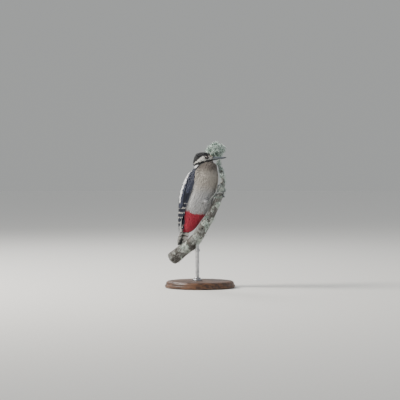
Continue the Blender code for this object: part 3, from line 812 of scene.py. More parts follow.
# Each feather takes its colour from the markings at the middle of its showing part.
def paintCoat(mesh):
    root, way = (readArray(mesh.attributes[key].data, "vector", 3) for key in ("root", "way"))
    long, along, across, one = (
        readArray(mesh.attributes[key].data, "value") for key in ("long", "along", "across", "one")
    )
    starts = np.r_[True, np.any(root[1:] != root[:-1], axis=1)]
    which = np.cumsum(starts) - 1
    middle = (root + way * (0.62 * long)[:, None])[starts]
    colour, gloss = markings(toBird(middle), grainNoise(middle, 7.0))
    colour = colour * (0.88 + 0.24 * one[starts])[:, None]
    setAttribute(mesh, "tint", "FLOAT_COLOR", np.hstack([colour, np.ones((len(colour), 1))])[which])
    for key, values in (("gloss", gloss[which]), ("run", along * long / mm), ("spread", across * long / mm)):
        setAttribute(mesh, key, "FLOAT", values)
    dropAttributes(mesh, (
        "root", "way", "long", "across", "thick", "rootMap", "one", "lie", "outward", *coatRegions,
    ))
    mesh.shade_smooth()


# Wing and tail quills.

# Cross-section of a vane from its outer edge to its inner one: shares of its width, and of its cup.
# The last three columns are its underside.
quillColumns = np.array([-1.0, -0.62, -0.16, 0.0, 0.16, 0.62, 1.0, 0.62, 0.0, -0.62])
quillDrops = np.array([-1.0, -0.35, 0.0, 0.0, 0.0, -0.35, -1.0, -0.35, 0.0, -0.35])
quillShaft, quillUnder = 3, 7  # column of the shaft, first column of the underside


# A long vane from its middle line. Rows are places along it: centre, side direction, outward direction.
def quill(centres, sides, outs, widths, thickness, shaft, cup):
    count, n = len(centres), len(quillColumns)
    steps = np.r_[0.0, np.cumsum(np.linalg.norm(np.diff(centres, axis=0), axis=1))]
    reach = quillColumns * np.where(quillColumns < 0, widths[:, :1], widths[:, 1:])
    lift = np.tile(quillDrops * cup, (count, 1))
    lift[:, quillShaft] = shaft * (1 - 0.7 * steps / steps[-1])
    lift[:, quillUnder:] -= thickness
    points = centres[:, None] + sides[:, None] * reach[..., None] + outs[:, None] * lift[..., None]
    faces = ringFaces(count, n, flip=True) + capFaces(0, count * n, n)
    return {"points": points.reshape(-1, 3), "faces": faces, "run": np.repeat(steps, n),
            "across": np.tile(quillColumns, count)}


# Width of a quill's two vanes along it, with a rounded or a pointed end and a little wear.
def quillWidths(count, outer, inner, point, rng):
    t = np.linspace(0, 1, count)
    start = 0.25 + 0.75 * smoothStep(t, 0.0, 0.2)
    end = np.maximum(1 - np.maximum((t - point) / (1.001 - point), 0.0) ** 2.3, 0.0) ** 0.62
    wear = 1 + np.array([rng.uniform(-0.035, 0.02) for _ in t])
    return np.maximum(np.outer(start * end * wear, (outer, inner)), 0.12)


# Joins quills into one piece, with each one's map in its own strip.
def joinQuills(name, quills, finish, *nodes):
    faces, strip = [], []
    for index, part in enumerate(quills):
        faces += [tuple(len(strip) + v for v in face) for face in part["faces"]]
        strip += [index] * len(part["points"])
    keys = ("points", "run", "across", "phase", "bias")
    points, run, across, phase, bias = (np.concatenate([part[key] for part in quills]) for key in keys)
    strip = np.array(strip)
    mesh = meshFrom(name, toModel(points), faces)
    corner = np.empty(len(mesh.loops), dtype=np.int32)
    mesh.loops.foreach_get("vertex_index", corner)
    # the underside's columns mirror to the second half of the strip
    isUnder = np.arange(len(points)) % len(quillColumns) >= quillUnder
    place = np.where(isUnder, 1.5 - 0.5 * across, 0.5 + 0.5 * across)
    u = 0.01 + 0.98 * run / run.max()
    v = (strip + 0.05 + 0.45 * np.clip(place, 0, 2)) / len(quills)
    cells = mesh.uv_layers.new(name="OFBake")
    cells.data.foreach_set("uv", np.stack([u, v], axis=1)[corner].astype(np.float32).ravel())
    for key, values in (("run", run), ("across", across), ("phase", phase), ("bias", bias),
                        ("one", (strip * 0.618) % 1.0)):
        setAttribute(mesh, key, "FLOAT", values)
    return finishPiece(addPiece(name, mesh, finish), "black_plumage", *nodes)


quillFinish = {
    # blue-black: partly the feathers' own colour, partly a painted sheen of blue sky
    "black": "#161d32",
    "tailBlack": "#15171c",
    "wornBlack": "#4b4640",
    "white": "#e4e2dc",
    "wornWhite": "#b9b2a6",
    "barbSpacing": 0.42,
}


# Stiff flight feathers: silky blue-black, its blue partly a painted sheen, with crisp white bars, slanting
# barbs and a glossy raised shaft.
def quillMaterial(name, dark):
    look = quillFinish
    material, add = startMaterial(name, Specular_IOR_Level=0.4, Sheen_Weight=0.05)
    run, across, phase, bias, one = [
        add("value", attribute_name=key) for key in ("run", "across", "phase", "bias", "one")
    ]
    edge = add("absolute", across)
    wave = add("sine", add("multiply", phase, fullTurn))
    ragged = add("multiply", add("subtract", objectNoise(add, 1500, 2.0), 0.5), 0.5)
    white = add("ease", add("add", add("add", wave, bias), ragged), -0.12, 0.12)
    slant = add("subtract", run, add("multiply", edge, 4.0))
    barbs = add("sine", add("multiply", slant, fullTurn / look["barbSpacing"]))
    clumps = objectNoise(add, 700)
    shade = add("ease", barbs, -1.0, 1.0, 0.9, 1.08)
    shade = add("multiply", shade, add("ease", clumps, 0.3, 0.7, 0.85, 1.12))
    shade = add("multiply", shade, add("ease", one, 0.0, 1.0, 0.85, 1.15))
    # feather edges wear browner and paler
    deep = overlay(add, dark, (edge, 0.86, 1.0, 0.0, 0.35, look["wornBlack"]))
    pale = overlay(add, look["white"], (edge, 0.86, 1.0, 0.0, 0.3, look["wornWhite"]))
    colour = shaded(add, add("mix", white, deep, pale), shade)
    shaft = add("ease", edge, 0.02, 0.12, 1.0, 0.0)
    rough = add("ease", shaft, 0.0, 1.0, 0.44, 0.25)
    return endMaterial(material, colour, add("multiply_add", clumps, 1.5, barbs), 0.05 * mm, 0.8, rough)


flightFeathers = {
    # each row: start height and degrees, end height and degrees, outer and inner vane width
    "rows": [
        # primaries
        (34, 97, -50, 63, 2.2, 5.0), (34, 95, -58, 45, 2.2, 6.0), (33, 93, -62.3, 30, 2.4, 6.4),
        (32, 91, -61, 25, 2.5, 6.4), (31, 89, -56, 22, 2.6, 6.4), (30, 87, -51, 21, 2.7, 6.4),
        (29, 85, -46.5, 20, 2.8, 6.4), (28, 83, -42.5, 19, 2.9, 6.4),
        # secondaries
        (27, 80, -37, 19, 3.6, 6.6), (26, 76, -34, 18, 3.8, 6.6), (26, 72, -31.5, 17, 4.0, 6.6),
        (25, 68, -29, 17, 4.2, 6.6), (25, 64, -26.5, 17, 4.4, 6.6),
        # tertials
        (20, 58, -23, 20, 5.0, 6.4), (18, 51, -18, 26, 5.2, 6.0), (16, 45, -12, 32, 5.2, 5.4),
    ],
    "count": 44,  # rows of points along each feather
    "barSpacing": 9.4,  # mm between the white bars
    "barTop": -5.0,  # the highest bar's height
    "barsEnd": -57.0,
    "thickness": 0.12,
    "tilt": 0.07,  # the outer vane's edge stands a little proud of the next feather
}


# A point of the folded wing, at a share of the way out through its thickness.
def wingPoint(sign, height, degrees, share):
    lower, upper, thick = rowAt(wingRows, height).T
    across = np.clip((degrees - lower) / (upper - lower), 0.02, 0.98)
    depth = 0.7 + (thick - 0.7) * np.sin(math.pi * across) ** 0.6
    return hullPoint(wingBedRows, height, sign * degrees, 0.6 + depth * share)


def makeFlightFeathers(side, sign, finish):
    look = flightFeathers
    rng = random.Random(21 if sign > 0 else 22)
    count, barTop, barsEnd, tilt = look["count"], look["barTop"], look["barsEnd"], look["tilt"]
    t = np.linspace(0, 1, count)
    quills = []
    for k, (topZ, topDegrees, endZ, endDegrees, outer, inner) in enumerate(look["rows"]):
        rank = k / (len(look["rows"]) - 1)
        height = topZ + (endZ - topZ) * t
        # follows the wing's lower edge first, then swings up to its end near the middle of the back
        degrees = topDegrees + (endDegrees - topDegrees) * (0.35 * t + 0.65 * t**2.2)
        # each root starts low, under the coverts
        share = (0.42 + 0.60 * rank) * (0.35 + 0.65 * smoothStep(t, 0.02, 0.30))
        centres = wingPoint(sign, height, degrees, share)
        along = unit(np.gradient(centres, axis=0))
        outs = unit(crosswise(wingPoint(sign, height, degrees, share + 1.0) - centres, along))
        sides = np.cross(outs, along) * sign  # points to the middle of the back
        tilted = sides * math.cos(tilt) - outs * math.sin(tilt)
        outs = outs * math.cos(tilt) + sides * math.sin(tilt)
        widths = quillWidths(count, outer, inner, 0.93 if k < 3 else 0.90, rng)
        part = quill(centres, tilted, outs, widths, look["thickness"], 0.16, 0.16)
        # white spots on the outer vane, in rows across the wing, from the coverts down to near its tip
        level, across = part["points"][:, 2], part["across"]
        part["phase"] = (level - barTop) / look["barSpacing"] + 0.25 + (0.07 if k % 2 else -0.04)
        bias = np.where(across < 0, -1.45 + 1.05 * np.abs(across), -2.0) - (0.25 if k > 12 else 0.0)
        bias -= 3.0 * smoothStep(level, barTop - 1, barTop + 4)
        part["bias"] = bias - 3.0 * (1 - smoothStep(level, barsEnd - 2, barsEnd + 2))
        quills.append(part)
    joinQuills(f"flight_feathers_{side}", quills, finish, f"wing_{side}")


tailFeathers = {
    "root": (-13.0, 0.0, -6.0),
    "length": 88.0,
    "lean": math.radians(26),
    "bend": math.radians(8),
    "spread": (1.4, 0.026),
    "step": 0.35,
    "arch": 0.9,
    # each pair from the middle out: length as a share of the longest, outer and inner vane width in mm
    "pairs": [(1.0, 4.6, 4.8), (0.985, 4.0, 6.2), (0.965, 3.4, 7.2), (0.93, 2.9, 8.2), (0.86, 2.5, 9.4)],
    # bars of the outer pairs: how white, how much whiter at the tip, and where they fade, in mm from the tip
    "bars": {2: (0.45, 0.0, 20, 26), 3: (0.50, 0.9, 32, 38), 4: (0.66, 1.2, 46, 54)},
    "barSpacing": 8.6,
    "count": 44,
    "start": 12.0,  # mm from the root to where the vanes begin
}


# The middle line of the tail at distances from its root, in mm, with the direction that it runs in.
def tailLine(distance):
    fine = np.linspace(0, tailFeathers["length"], 400)
    angle = tailFeathers["lean"] - tailFeathers["bend"] * (fine / tailFeathers["length"]) ** 1.5
    direction = np.stack([-np.sin(angle), np.zeros_like(angle), -np.cos(angle)], axis=1)
    path = np.array(tailFeathers["root"]) + np.cumsum(direction, axis=0) * (fine[1] - fine[0])
    found = (path, direction)
    return [np.stack([np.interp(distance, fine, row) for row in rows.T], axis=1) for rows in found]


# Ten stiff, pointed tail feathers. The outer ones lie in front and are white with black bars.
def makeTail(finish):
    look = tailFeathers
    rng = random.Random(31)
    count, start, quills = look["count"], look["start"], []
    for across in sorted(np.arange(-4.5, 5.0, 1.0), key=abs):
        pair, sign = int(abs(across)), math.copysign(1, across)
        share, outer, inner = look["pairs"][pair]
        length = look["length"] * share
        distance = np.linspace(start, length + 0.6, count)
        centre, along = tailLine(distance)
        front = np.stack([-along[:, 2], np.zeros(count), along[:, 0]], axis=1)
        centre = centre + front * (look["step"] * (abs(across) - 2.5))
        centre[:, 1] += across * (look["spread"][0] + distance * look["spread"][1])
        sides = np.tile([0.0, -sign, 0.0], (count, 1))  # towards the middle of the tail
        widths = quillWidths(count, outer, inner, 0.66 if pair < 3 else 0.84, rng)
        widths *= (0.35 + 0.65 * smoothStep(distance, start, 52))[:, None]
        part = quill(centre, sides, -front, widths, 0.15, 0.26, 0.04)
        # every vane bends with the arch of the whole tail
        points = part["points"]
        arch = look["arch"] * (points[:, 1] / 11) ** 2
        points += np.repeat(front, len(quillColumns), axis=0) * arch[:, None]
        part["phase"] = (part["run"] + 2.0 * np.abs(part["across"])) / look["barSpacing"]
        fromTip = length - start - part["run"]
        white, whiter, fade, end = look["bars"].get(pair, (-3.0, 0.0, 98, 99))
        part["bias"] = white + whiter * smoothStep(7 - fromTip, 0, 5) - 2.6 * smoothStep(fromTip, fade, end)
        quills.append(part)
    joinQuills("tail_feathers", quills, finish, "tail")


# Eyes and eyelids, the same on both sides.

eyes = {
    "ball": 3.3,  # mm radius
    "iris": 2.3,
    "pupil": 1.3,
    "bulge": 0.05,  # of the front, as a cornea has
    "lid": 2.4,  # radius of the opening
    "lidWidth": 0.75,
    "segments": 40,
    "rings": 18,
}


# Glass eye: wet clear front over a dark red-brown iris with fine spokes, and a black pupil.
def eyeMaterial():
    material, add = startMaterial(
        "eye, polished glass", Roughness=0.05, Coat_Weight=1.0, Coat_Roughness=0.02
    )
    out, turn = [add("value", attribute_name=key) for key in ("out", "turn")]
    spokes = add("sine", add("multiply", turn, 34.0))
    iris, pupil = eyes["iris"], eyes["pupil"]
    colour = overlay(
        add, "#2e120c", (spokes, -1.0, 1.0, 0.0, 1.0, "#4a2014"), (out, pupil, iris, 0.0, 0.8, "#1a0a08"),
        (out, iris - 0.12, iris + 0.08, 0.0, 1.0, "#120d0c"),
        (out, pupil - 0.1, pupil + 0.1, 1.0, 0.0, "#050505"),
    )
    return endMaterial(material, colour, objectNoise(add, 600, 1.0), 0.004 * mm, 0.3)


# Bare eyelid skin: slate grey, pebbled at about a quarter of a millimetre.
def lidMaterial():
    material, add = startMaterial("eyelid, pebbled bare skin", Roughness=0.55, Specular_IOR_Level=0.4)
    pebbles = add("ShaderNodeTexVoronoi", {"Vector": add("place"), "Scale": 3600}, take="Distance")
    colour = overlay(add, "#5a5d61", (pebbles, 0.0, 0.7, 0.0, 1.0, "#2c2e32"))
    return endMaterial(material, colour, pebbles, -0.12 * mm)


# An eye's centre, where it looks, and the two directions across that.
def eyeFrame(sign):
    forward, side, up = head["eye"]
    centre = head["base"] + headForward * forward + headLeft * (sign * side) + headUp * up
    gaze = unit(headLeft * sign + headForward * 0.30 + headUp * 0.06)
    across = unit(crosswise(headForward, gaze))
    return centre, gaze, across, np.cross(gaze, across)


def makeEyes(ballFinish, lidFinish):
    segments, ball, lid, lidWidth = (eyes[key] for key in ("segments", "ball", "lid", "lidWidth"))
    turns = np.linspace(0, fullTurn, segments, endpoint=False)
    for side, sign in (("right", -1), ("left", 1)):
        centre, gaze, across, up = eyeFrame(sign)
        around = [across * math.cos(turn) + up * math.sin(turn) for turn in turns]
        points, out, turnOf = [centre + gaze * ball], [0.0], [0.0]
        for angle in 0.62 * math.pi * np.arange(1, eyes["rings"] + 1) / eyes["rings"]:
            reach = ball * (1 + eyes["bulge"] * hump(angle / 0.55))
            points += [centre + (gaze * math.cos(angle) + ring * math.sin(angle)) * reach for ring in around]
            out += [ball * math.sin(min(angle, 0.5 * math.pi))] * segments
            turnOf += list(turns)
        faces = fanFaces(0, 1, segments) + ringFaces(eyes["rings"], segments, 1, flip=True)
        faces.append(tuple(reversed(range(len(points) - segments, len(points)))))
        buildPiece(f"eyeball_{side}", points, faces, ballFinish, "eye", f"eye_{side}", out=out, turn=turnOf)

        # two soft lids round an almond opening, pointed a little in front and behind
        points, profile = [], 9
        for turn, ring in zip(turns, around):
            almond = lid * (1 + 0.10 * math.cos(turn) ** 4 - 0.05 * math.sin(turn) ** 2)
            for share in np.arange(profile) / (profile - 1):
                radius = almond + lidWidth * share
                over = math.sqrt(ball**2 - min(radius, ball * 0.97) ** 2)
                rise = 0.30 * math.sin(math.pi * min(share * 1.15 + 0.05, 1.0)) - 0.5 * share**2
                points.append(centre + ring * radius + gaze * (over + rise))
            points.append(centre + ring * (almond + lidWidth) + gaze * (over - 1.3))
            points.append(centre + ring * almond + gaze * (over - 1.0))
        faces = ringFaces(segments, profile + 2, flip=True, loop=True)
        buildPiece(f"eyelids_{side}", points, faces, lidFinish, "horn")


# Bill.

bill = {
    "length": 25.5,
    "lowerShort": 1.2,  # the lower half ends this much sooner
    "upperDepth": 3.8,
    "lowerDepth": 3.3,
    "halfWidth": 4.0,
    "gap": 0.3,
    "baseLift": 0.2,
    "rings": 40,
    "sides": 28,
}


# Horn: slate blue-grey, paler along the cutting edges, with fine lengthwise streaks and a low satin polish.
def hornMaterial():
    material, add = startMaterial(
        "bill and claws, satin horn", Specular_IOR_Level=0.5, Coat_Weight=0.12, Coat_Roughness=0.25
    )
    run, lip = [add("value", attribute_name=key) for key in ("run", "lip")]
    streak = objectNoise(add, 420, 4.0, stretch=(0.25, 0.25, 2.2))
    mottling = objectNoise(add, 160, 2.0)
    colour = overlay(
        add, "#363d45", (streak, 0.3, 0.7, 0.0, 1.0, "#515962"), (mottling, 0.4, 0.75, 0.0, 0.4, "#6d737a"),
        (lip, 0.55, 1.0, 0.0, 0.5, "#8b8d8c"), (run, 0.55, 1.0, 0.0, 0.65, "#1d2024"),
    )
    return endMaterial(material, colour, streak, 0.06 * mm, 0.7, add("ease", streak, 0.3, 0.7, 0.30, 0.42))


def makeBill(finish):
    sides = bill["sides"]
    for name, node, depth, sense in (
        ("bill_upper", "upper_bill", bill["upperDepth"], 1),
        ("bill_lower", "lower_bill", bill["lowerDepth"], -1),
    ):
        reach = bill["length"] - (bill["lowerShort"] if sense < 0 else 0.0)
        points, run, lip = [], [], []
        for t in np.linspace(0, 1, bill["rings"]):
            share = 1 - (1 - t) ** 1.25 if t > 0.5 else t * (1 - 0.5**1.25) / 0.5
            height = depth * (1 - 0.78 * share**1.15) * (1 - 0.62 * smoothStep(share, 0.93, 1.0))
            width = bill["halfWidth"] * (1 - 0.86 * share**0.9) + 0.1
            width *= 1 - 0.35 * smoothStep(share, 0.96, 1.0)
            # starts a little inside the face
            place = head["base"] + headForward * (bill["gap"] + reach * share - 2.2 * (1 - t) ** 8)
            place = place + headUp * (bill["baseLift"] + sense * 0.5 * bill["gap"])
            for angle in fullTurn * np.arange(sides) / sides:
                x, y = math.cos(angle), math.sin(angle)
                across, rise = x * 0.96, y * 0.10
                if y >= 0:
                    # rounded rhomb with a crisp ridge and a long groove over the nostril
                    flank = 1 - 0.16 * abs(math.sin(2 * angle)) ** 1.5
                    flank -= 0.10 * hump((y - 0.55) / 0.16) * (1 - smoothStep(share, 0.25, 0.75))
                    across, rise = x * flank, y * flank * 1.02
                points.append(place + headLeft * (width * across) + headUp * (sense * height * rise))
                run.append(share)
                lip.append(1 - max(y, 0.0))
        faces = ringFaces(bill["rings"], sides) + capFaces(0, len(points), sides)
        buildPiece(name, points, faces, finish, "horn", node, run=run, lip=lip)


# Branch.

branch = {
    # centre line forward and up, and radius, in mm, from the low cut end to the top
    "rows": [
        (-64.0, -112.5, 12.2), (-41.6, -97.5, 11.6), (-10.5, -75.0, 11.0), (4.0, -56.4, 10.0),
        (17.8, -37.6, 8.8),
        (29.8, -18.8, 7.6), (40.5, 0.0, 7.0), (47.5, 16.0, 6.2), (51.3, 33.0, 5.0),
    ],
    "twig": [
        (51.3, 0.5, 33.4), (46.8, 7.0, 45.5), (33.5, 18.5, 59.0), (20.5, 29.5, 76.0), (13.5, 35.0, 90.0),
    ],
    "twigRadii": (3.4, 2.2),
    "twigRings": 150,
    "twigSides": 30,
    "twigLength": 62,  # mm that its bark pattern runs over
    "rings": 330,
    "sides": 104,
    "plateScale": 0.42,  # bark plates to the mm round the branch
    "plateStretch": 0.26,  # their width as a share of their length
    "relief": 1.15,  # mm from the tops of the ridges to the cracks
    # knots: distance from the low end, degrees round, size and height in mm
    "knots": [
        (52.0, 150.0, 5.5, 1.1), (96.0, -118.0, 4.5, 0.9), (143.0, 95.0, 4.0, 0.8), (24.0, -60.0, 5.0, 0.9),
    ],
    "growthRings": 11,
}
branchTable = np.array(branch["rows"])
branchRun = np.r_[0.0, np.cumsum(np.hypot(*np.diff(branchTable[:, :2], axis=0).T))]
branchTable = np.column_stack([branchRun, branchTable])
branchLength = branchTable[-1, 0]


# Middle, direction and radius of the branch at distances from its low end.
def branchAt(distance):
    distance = np.atleast_1d(np.asarray(distance, dtype=float))
    found = rowAt(branchTable, distance)
    ahead, behind = rowAt(branchTable, distance + 0.5), rowAt(branchTable, distance - 0.5)
    flat = np.zeros(len(distance))
    along = unit(np.stack([ahead[:, 0] - behind[:, 0], flat, ahead[:, 1] - behind[:, 1]], axis=1))
    return np.stack([found[:, 0], flat, found[:, 1]], axis=1), along, found[:, 2]


# Points this far above the bark, degrees round from the side that faces the bird.
def barkPoint(distance, degrees, lift):
    middle, along, radius = branchAt(distance)
    towards = np.stack([-along[:, 2], np.zeros(len(along)), along[:, 0]], axis=1)
    angle = np.radians(np.atleast_1d(degrees))[:, None]
    out = towards * np.cos(angle) + np.array([0.0, 1.0, 0.0]) * np.sin(angle)
    return middle + out * (radius + lift)[:, None], out


def branchDistance(height):
    runs = np.linspace(0, branchLength, 2000)
    return float(np.interp(height, branchAt(runs)[0][:, 2], runs))


# Depth of the bark's surface below its ridges, from 0 on a ridge to 1 in a crack.
def barkDepth(run, degrees, seed=0.0):
    depth = np.empty(len(run))
    for k, (x, a) in enumerate(zip(run, np.radians(degrees))):
        ring = Vector((math.cos(a), math.sin(a), 0.0))
        drift = 0.55 * noise.noise(Vector((x * 0.045, 0, seed)) + ring * 0.8)
        wave = noise.noise(Vector((ring.x * 2.6, ring.y * 2.6, x * 0.055 + seed)) + Vector((drift, 0, 0)))
        crack = 1 - min(abs(wave) * 5.2, 1.0)
        across = noise.noise(Vector((ring.x * 2.0, ring.y * 2.0, x * 0.34 + 9 + seed)))
        split = 1 - min(abs(across) * 7.0, 1.0)
        crumbs = noise.noise(Vector((ring.x * 9.0, ring.y * 9.0, x * 0.9 + seed)))
        depth[k] = 0.62 * crack**1.4 + 0.26 * split**2 * (1 - crack) + 0.16 * (crumbs + 0.5)
    return np.clip(depth, 0, 1)


# Bark: weathered grey-brown ridges, dark cracks, and a thin pale grey-green bloom of algae in patches.
def barkMaterial():
    material, add = startMaterial("bark, weathered and rough", Roughness=0.88, Specular_IOR_Level=0.25)
    fine, mottled, patches = objectNoise(add, 1400, 5.0), objectNoise(add, 130, 4.0), objectNoise(add, 55)
    # flaky plates about 2 mm by 8 mm, split along the branch, with hair cracks in them
    along = add("ShaderNodeAttribute", attribute_name="grain", take="Vector")
    cells = {"Vector": along, "Scale": branch["plateScale"]}
    plates = add("ShaderNodeTexVoronoi", cells, feature="DISTANCE_TO_EDGE", take="Distance")
    hairs = add("ShaderNodeTexNoise", {"Vector": along, "Scale": 1.6, "Detail": 5.0}, take="Fac")
    edge = add("multiply_add", hairs, 0.12, plates)
    hair = add("absolute", add("subtract", hairs, 0.5))
    colour = overlay(
        add, "#55534f", (mottled, 0.35, 0.68, 0.0, 1.0, "#8a8a88"),
        (patches, 0.50, 0.62, 0.0, 0.75, "#a4a9a6"),
        (fine, 0.45, 0.75, 0.0, 0.5, "#6b6a66"), (hair, 0.0, 0.045, 0.45, 0.0, "#4a4642"),
        (edge, 0.05, 0.17, 0.6, 0.0, "#38332f"),
        (add("value", attribute_name="depth"), 0.25, 0.75, 0.0, 0.9, "#292624"),
    )
    relief = add("multiply_add", fine, 0.7, mottled)
    relief = add("subtract", relief, add("ease", edge, 0.05, 0.17, 1.1, 0.0))
    relief = add("subtract", relief, add("ease", hair, 0.0, 0.045, 0.5, 0.0))
    return endMaterial(material, colour, relief, 0.38 * mm)


# Sawn wood: pale end grain with fine growth rings, darker heart and a few drying cracks.
def endGrainMaterial():
    material, add = startMaterial("sawn end grain, dry", Roughness=0.8, Specular_IOR_Level=0.25)
    rim, turn = [add("value", attribute_name=key) for key in ("rim", "turn")]
    wavy = add("multiply_add", objectNoise(add, 160, 2.0), 0.08, rim)
    rings = add("sine", add("multiply", wavy, fullTurn * branch["growthRings"]))
    rays = add("sine", add("multiply", turn, 7.0))
    colour = overlay(
        add, "#b79a72", (rings, -0.6, 0.9, 0.0, 1.0, "#8a6a47"), (rim, 0.0, 0.5, 0.45, 0.0, "#5d4129"),
        (rays, 0.985, 1.0, 0.0, 0.8, "#33241a"),
    )
    return endMaterial(material, colour, add("add", rings, objectNoise(add, 1200)), 0.08 * mm, 0.6)


# A closed tube of bark, with the depth of its cracks and where each point lies in the bark's grain, in mm.
def barkTube(name, rings, run, degrees, radius, depth, finish, *nodes):
    count, sides = rings.shape[:2]
    faces = ringFaces(count, sides)
    faces += [tuple(reversed(range(sides))), tuple(range((count - 1) * sides, count * sides))]
    mesh = meshFrom(name, toModel(rings.reshape(-1, 3)), faces)
    setAttribute(mesh, "depth", "FLOAT", depth)
    angle = np.radians(degrees)
    grain = np.stack([run * branch["plateStretch"], np.cos(angle) * radius, np.sin(angle) * radius], axis=1)
    setAttribute(mesh, "grain", "FLOAT_VECTOR", grain)
    return finishPiece(addPiece(name, fixNormals(mesh), finish), "bark", *nodes)


def makeBranch(bark):
    count, sides = branch["rings"], branch["sides"]
    run = np.repeat(np.linspace(0, branchLength, count), sides)
    degrees = np.tile(np.linspace(0, 360, sides, endpoint=False), count)
    depth = barkDepth(run, degrees)
    lift = 0.12 - branch["relief"] * depth * (0.55 + 0.45 * np.interp(run, [0, branchLength], [1, 0.6]))
    for knotRun, knotTurn, wide, high in branch["knots"]:
        off = (degrees - knotTurn + 180) % 360 - 180
        gap = np.hypot(run - knotRun, np.radians(off) * branchAt([knotRun])[2][0]) / wide
        lift += high * (hump((gap - 0.75) / 0.35) - 1.1 * hump(gap / 0.4))
        depth = np.maximum(depth, hump(gap / 0.42))
    # sawn ends have a small worn edge
    lift -= 0.9 * np.exp(-np.minimum(run, branchLength - run) / 0.5)
    rings = barkPoint(run, degrees, lift)[0].reshape(count, sides, 3)
    return barkTube("branch_bark", rings, run, degrees, branchAt(run)[2], depth, bark, "perch_branch")


# Discs of end grain just proud of the branch's closed ends.
def makeEnds(finish):
    levels, segments = 14, 72
    side = np.array([0.0, 1.0, 0.0])
    points, faces, rim, turnOf = [], [], [], []
    for run, sense in ((0.0, -1), (branchLength, 1)):
        middle, along, radius = (found[0] for found in branchAt([run]))
        towards, first = np.cross(along, side), len(points)
        points.append(middle + along * sense * 0.15)
        rim.append(0.0)
        turnOf.append(0.0)
        for share in np.arange(1, levels + 1) / levels:
            for a in fullTurn * np.arange(segments) / segments:
                rough = 0.12 * noise.noise(Vector((math.cos(a) * share * 4, math.sin(a) * share * 4, run)))
                out = sense * (0.15 + rough if share < 1 else -0.45)
                spoke = side * math.cos(a) + towards * math.sin(a)
                points.append(middle + spoke * ((radius - 1.35) * share) + along * out)
                rim.append(share)
                turnOf.append(a)
        faces += fanFaces(first, first + 1, segments) + ringFaces(levels, segments, first + 1, flip=True)
        faces.append(tuple(range(len(points) - segments, len(points))))
    buildPiece("branch_ends", points, faces, finish, "bark", rim=rim, turn=turnOf)


# Rings round a bent path.
def ringsAlong(path, radii, sides, flatten=1.0, up=(0.0, 0.0, 1.0)):
    along = unit(np.gradient(path, axis=0))
    turn = np.linspace(0, fullTurn, sides, endpoint=False)[:, None]
    rings, across = [], np.cross(along[0], up)
    for place, way, radius in zip(path, along, radii):
        across = unit(crosswise(across, way))
        spokes = across * np.cos(turn) * flatten + np.cross(across, way) * np.sin(turn)
        rings.append(place + spokes * radius)
    return np.array(rings)


def smoothPath(points, count):
    points = np.array(points, dtype=float)
    run = np.r_[0.0, np.cumsum(np.linalg.norm(np.diff(points, axis=0), axis=1))]
    return rowAt(np.column_stack([run, points]), np.linspace(0, run[-1], count))


def makeTwig(bark):
    count, sides = branch["twigRings"], branch["twigSides"]
    start = np.array(branch["twig"][0]) - (0.6, 0.0, 3.2)
    path = smoothPath([start, *branch["twig"]], count)
    t = np.linspace(0, 1, count)
    radii = branch["twigRadii"][0] + (branch["twigRadii"][1] - branch["twigRadii"][0]) * t
    radii = radii * (1 + 0.10 * np.sin(t * 23) ** 6) + 1.0 * np.exp(-t * 26)
    rings = ringsAlong(path, radii, sides)
    run = np.repeat(t * branch["twigLength"], sides)
    degrees = np.tile(np.linspace(0, 360, sides, endpoint=False), count)
    depth = barkDepth(run, degrees, 5.0)
    rings = rings - unit(rings - path[:, None]) * (0.4 * depth).reshape(count, sides, 1)
    return barkTube("branch_twig", rings, run, degrees, np.repeat(radii, sides), depth, bark, "perch_twig")


# Lichen.

lichen = {
    "centre": (12.0, 36.0, 94.0),
    "radius": 14.5,
    "crustSpacing": 1.15,  # mm between the lobes of the crust
    "crustSize": 1.9,
    "strandLength": 9.6,
    "tuftSpacing": 0.9,
    "tuftSize": 4.2,
}


# Scatters small parts on a surface, each turned to stand out from it, spun and tilted at random.
def scatterTree():
    tree, add, given = startGroup("scatter", Spacing=2 * mm, Size=2 * mm, Tilt=0.3, Seed=1, Region="crust")
    points = spreadPoints(add, given)
    jitter, spin = (add("randomVector", (-1, -1, -1), (1, 1, 1), seed) for seed in (given["Seed"], 5))
    upright = add("sum", points.node.outputs["Normal"], add("scale", jitter, given["Tilt"]))
    size = add("multiply", add("random", 0.65, 1.2, given["Seed"]), given["Size"])
    placed = placeParts(add, given, points, upright, spin, size)
    endGroup(add, given, placed)
    return tree


# A crinkled leafy lobe of unit width, lying flat with its rim turned up.
def makeLobe(seed):
    rng = random.Random(seed)
    sides, points = 9, [(0.0, 0.0, 0.10)]
    turns = fullTurn * np.arange(sides) / sides
    for reach, rise, uneven in ((0.30, 0.07, 0.1), (0.52, 0.16, 0.32)):
        for a in turns:
            r = reach * (1 + uneven * rng.uniform(-1, 1))
            points.append((r * math.cos(a), r * math.sin(a), rise + 0.07 * rng.uniform(-1, 1)))
    points += [(0.34 * math.cos(a), 0.34 * math.sin(a), -0.06) for a in turns] + [(0.0, 0.0, -0.05)]
    faces = fanFaces(0, 1, sides) + ringFaces(3, sides, 1, flip=True)
    faces += fanFaces(len(points) - 1, len(points) - 1 - sides, sides)
    return fixNormals(meshFrom(f"lobe_{seed}", points, faces))


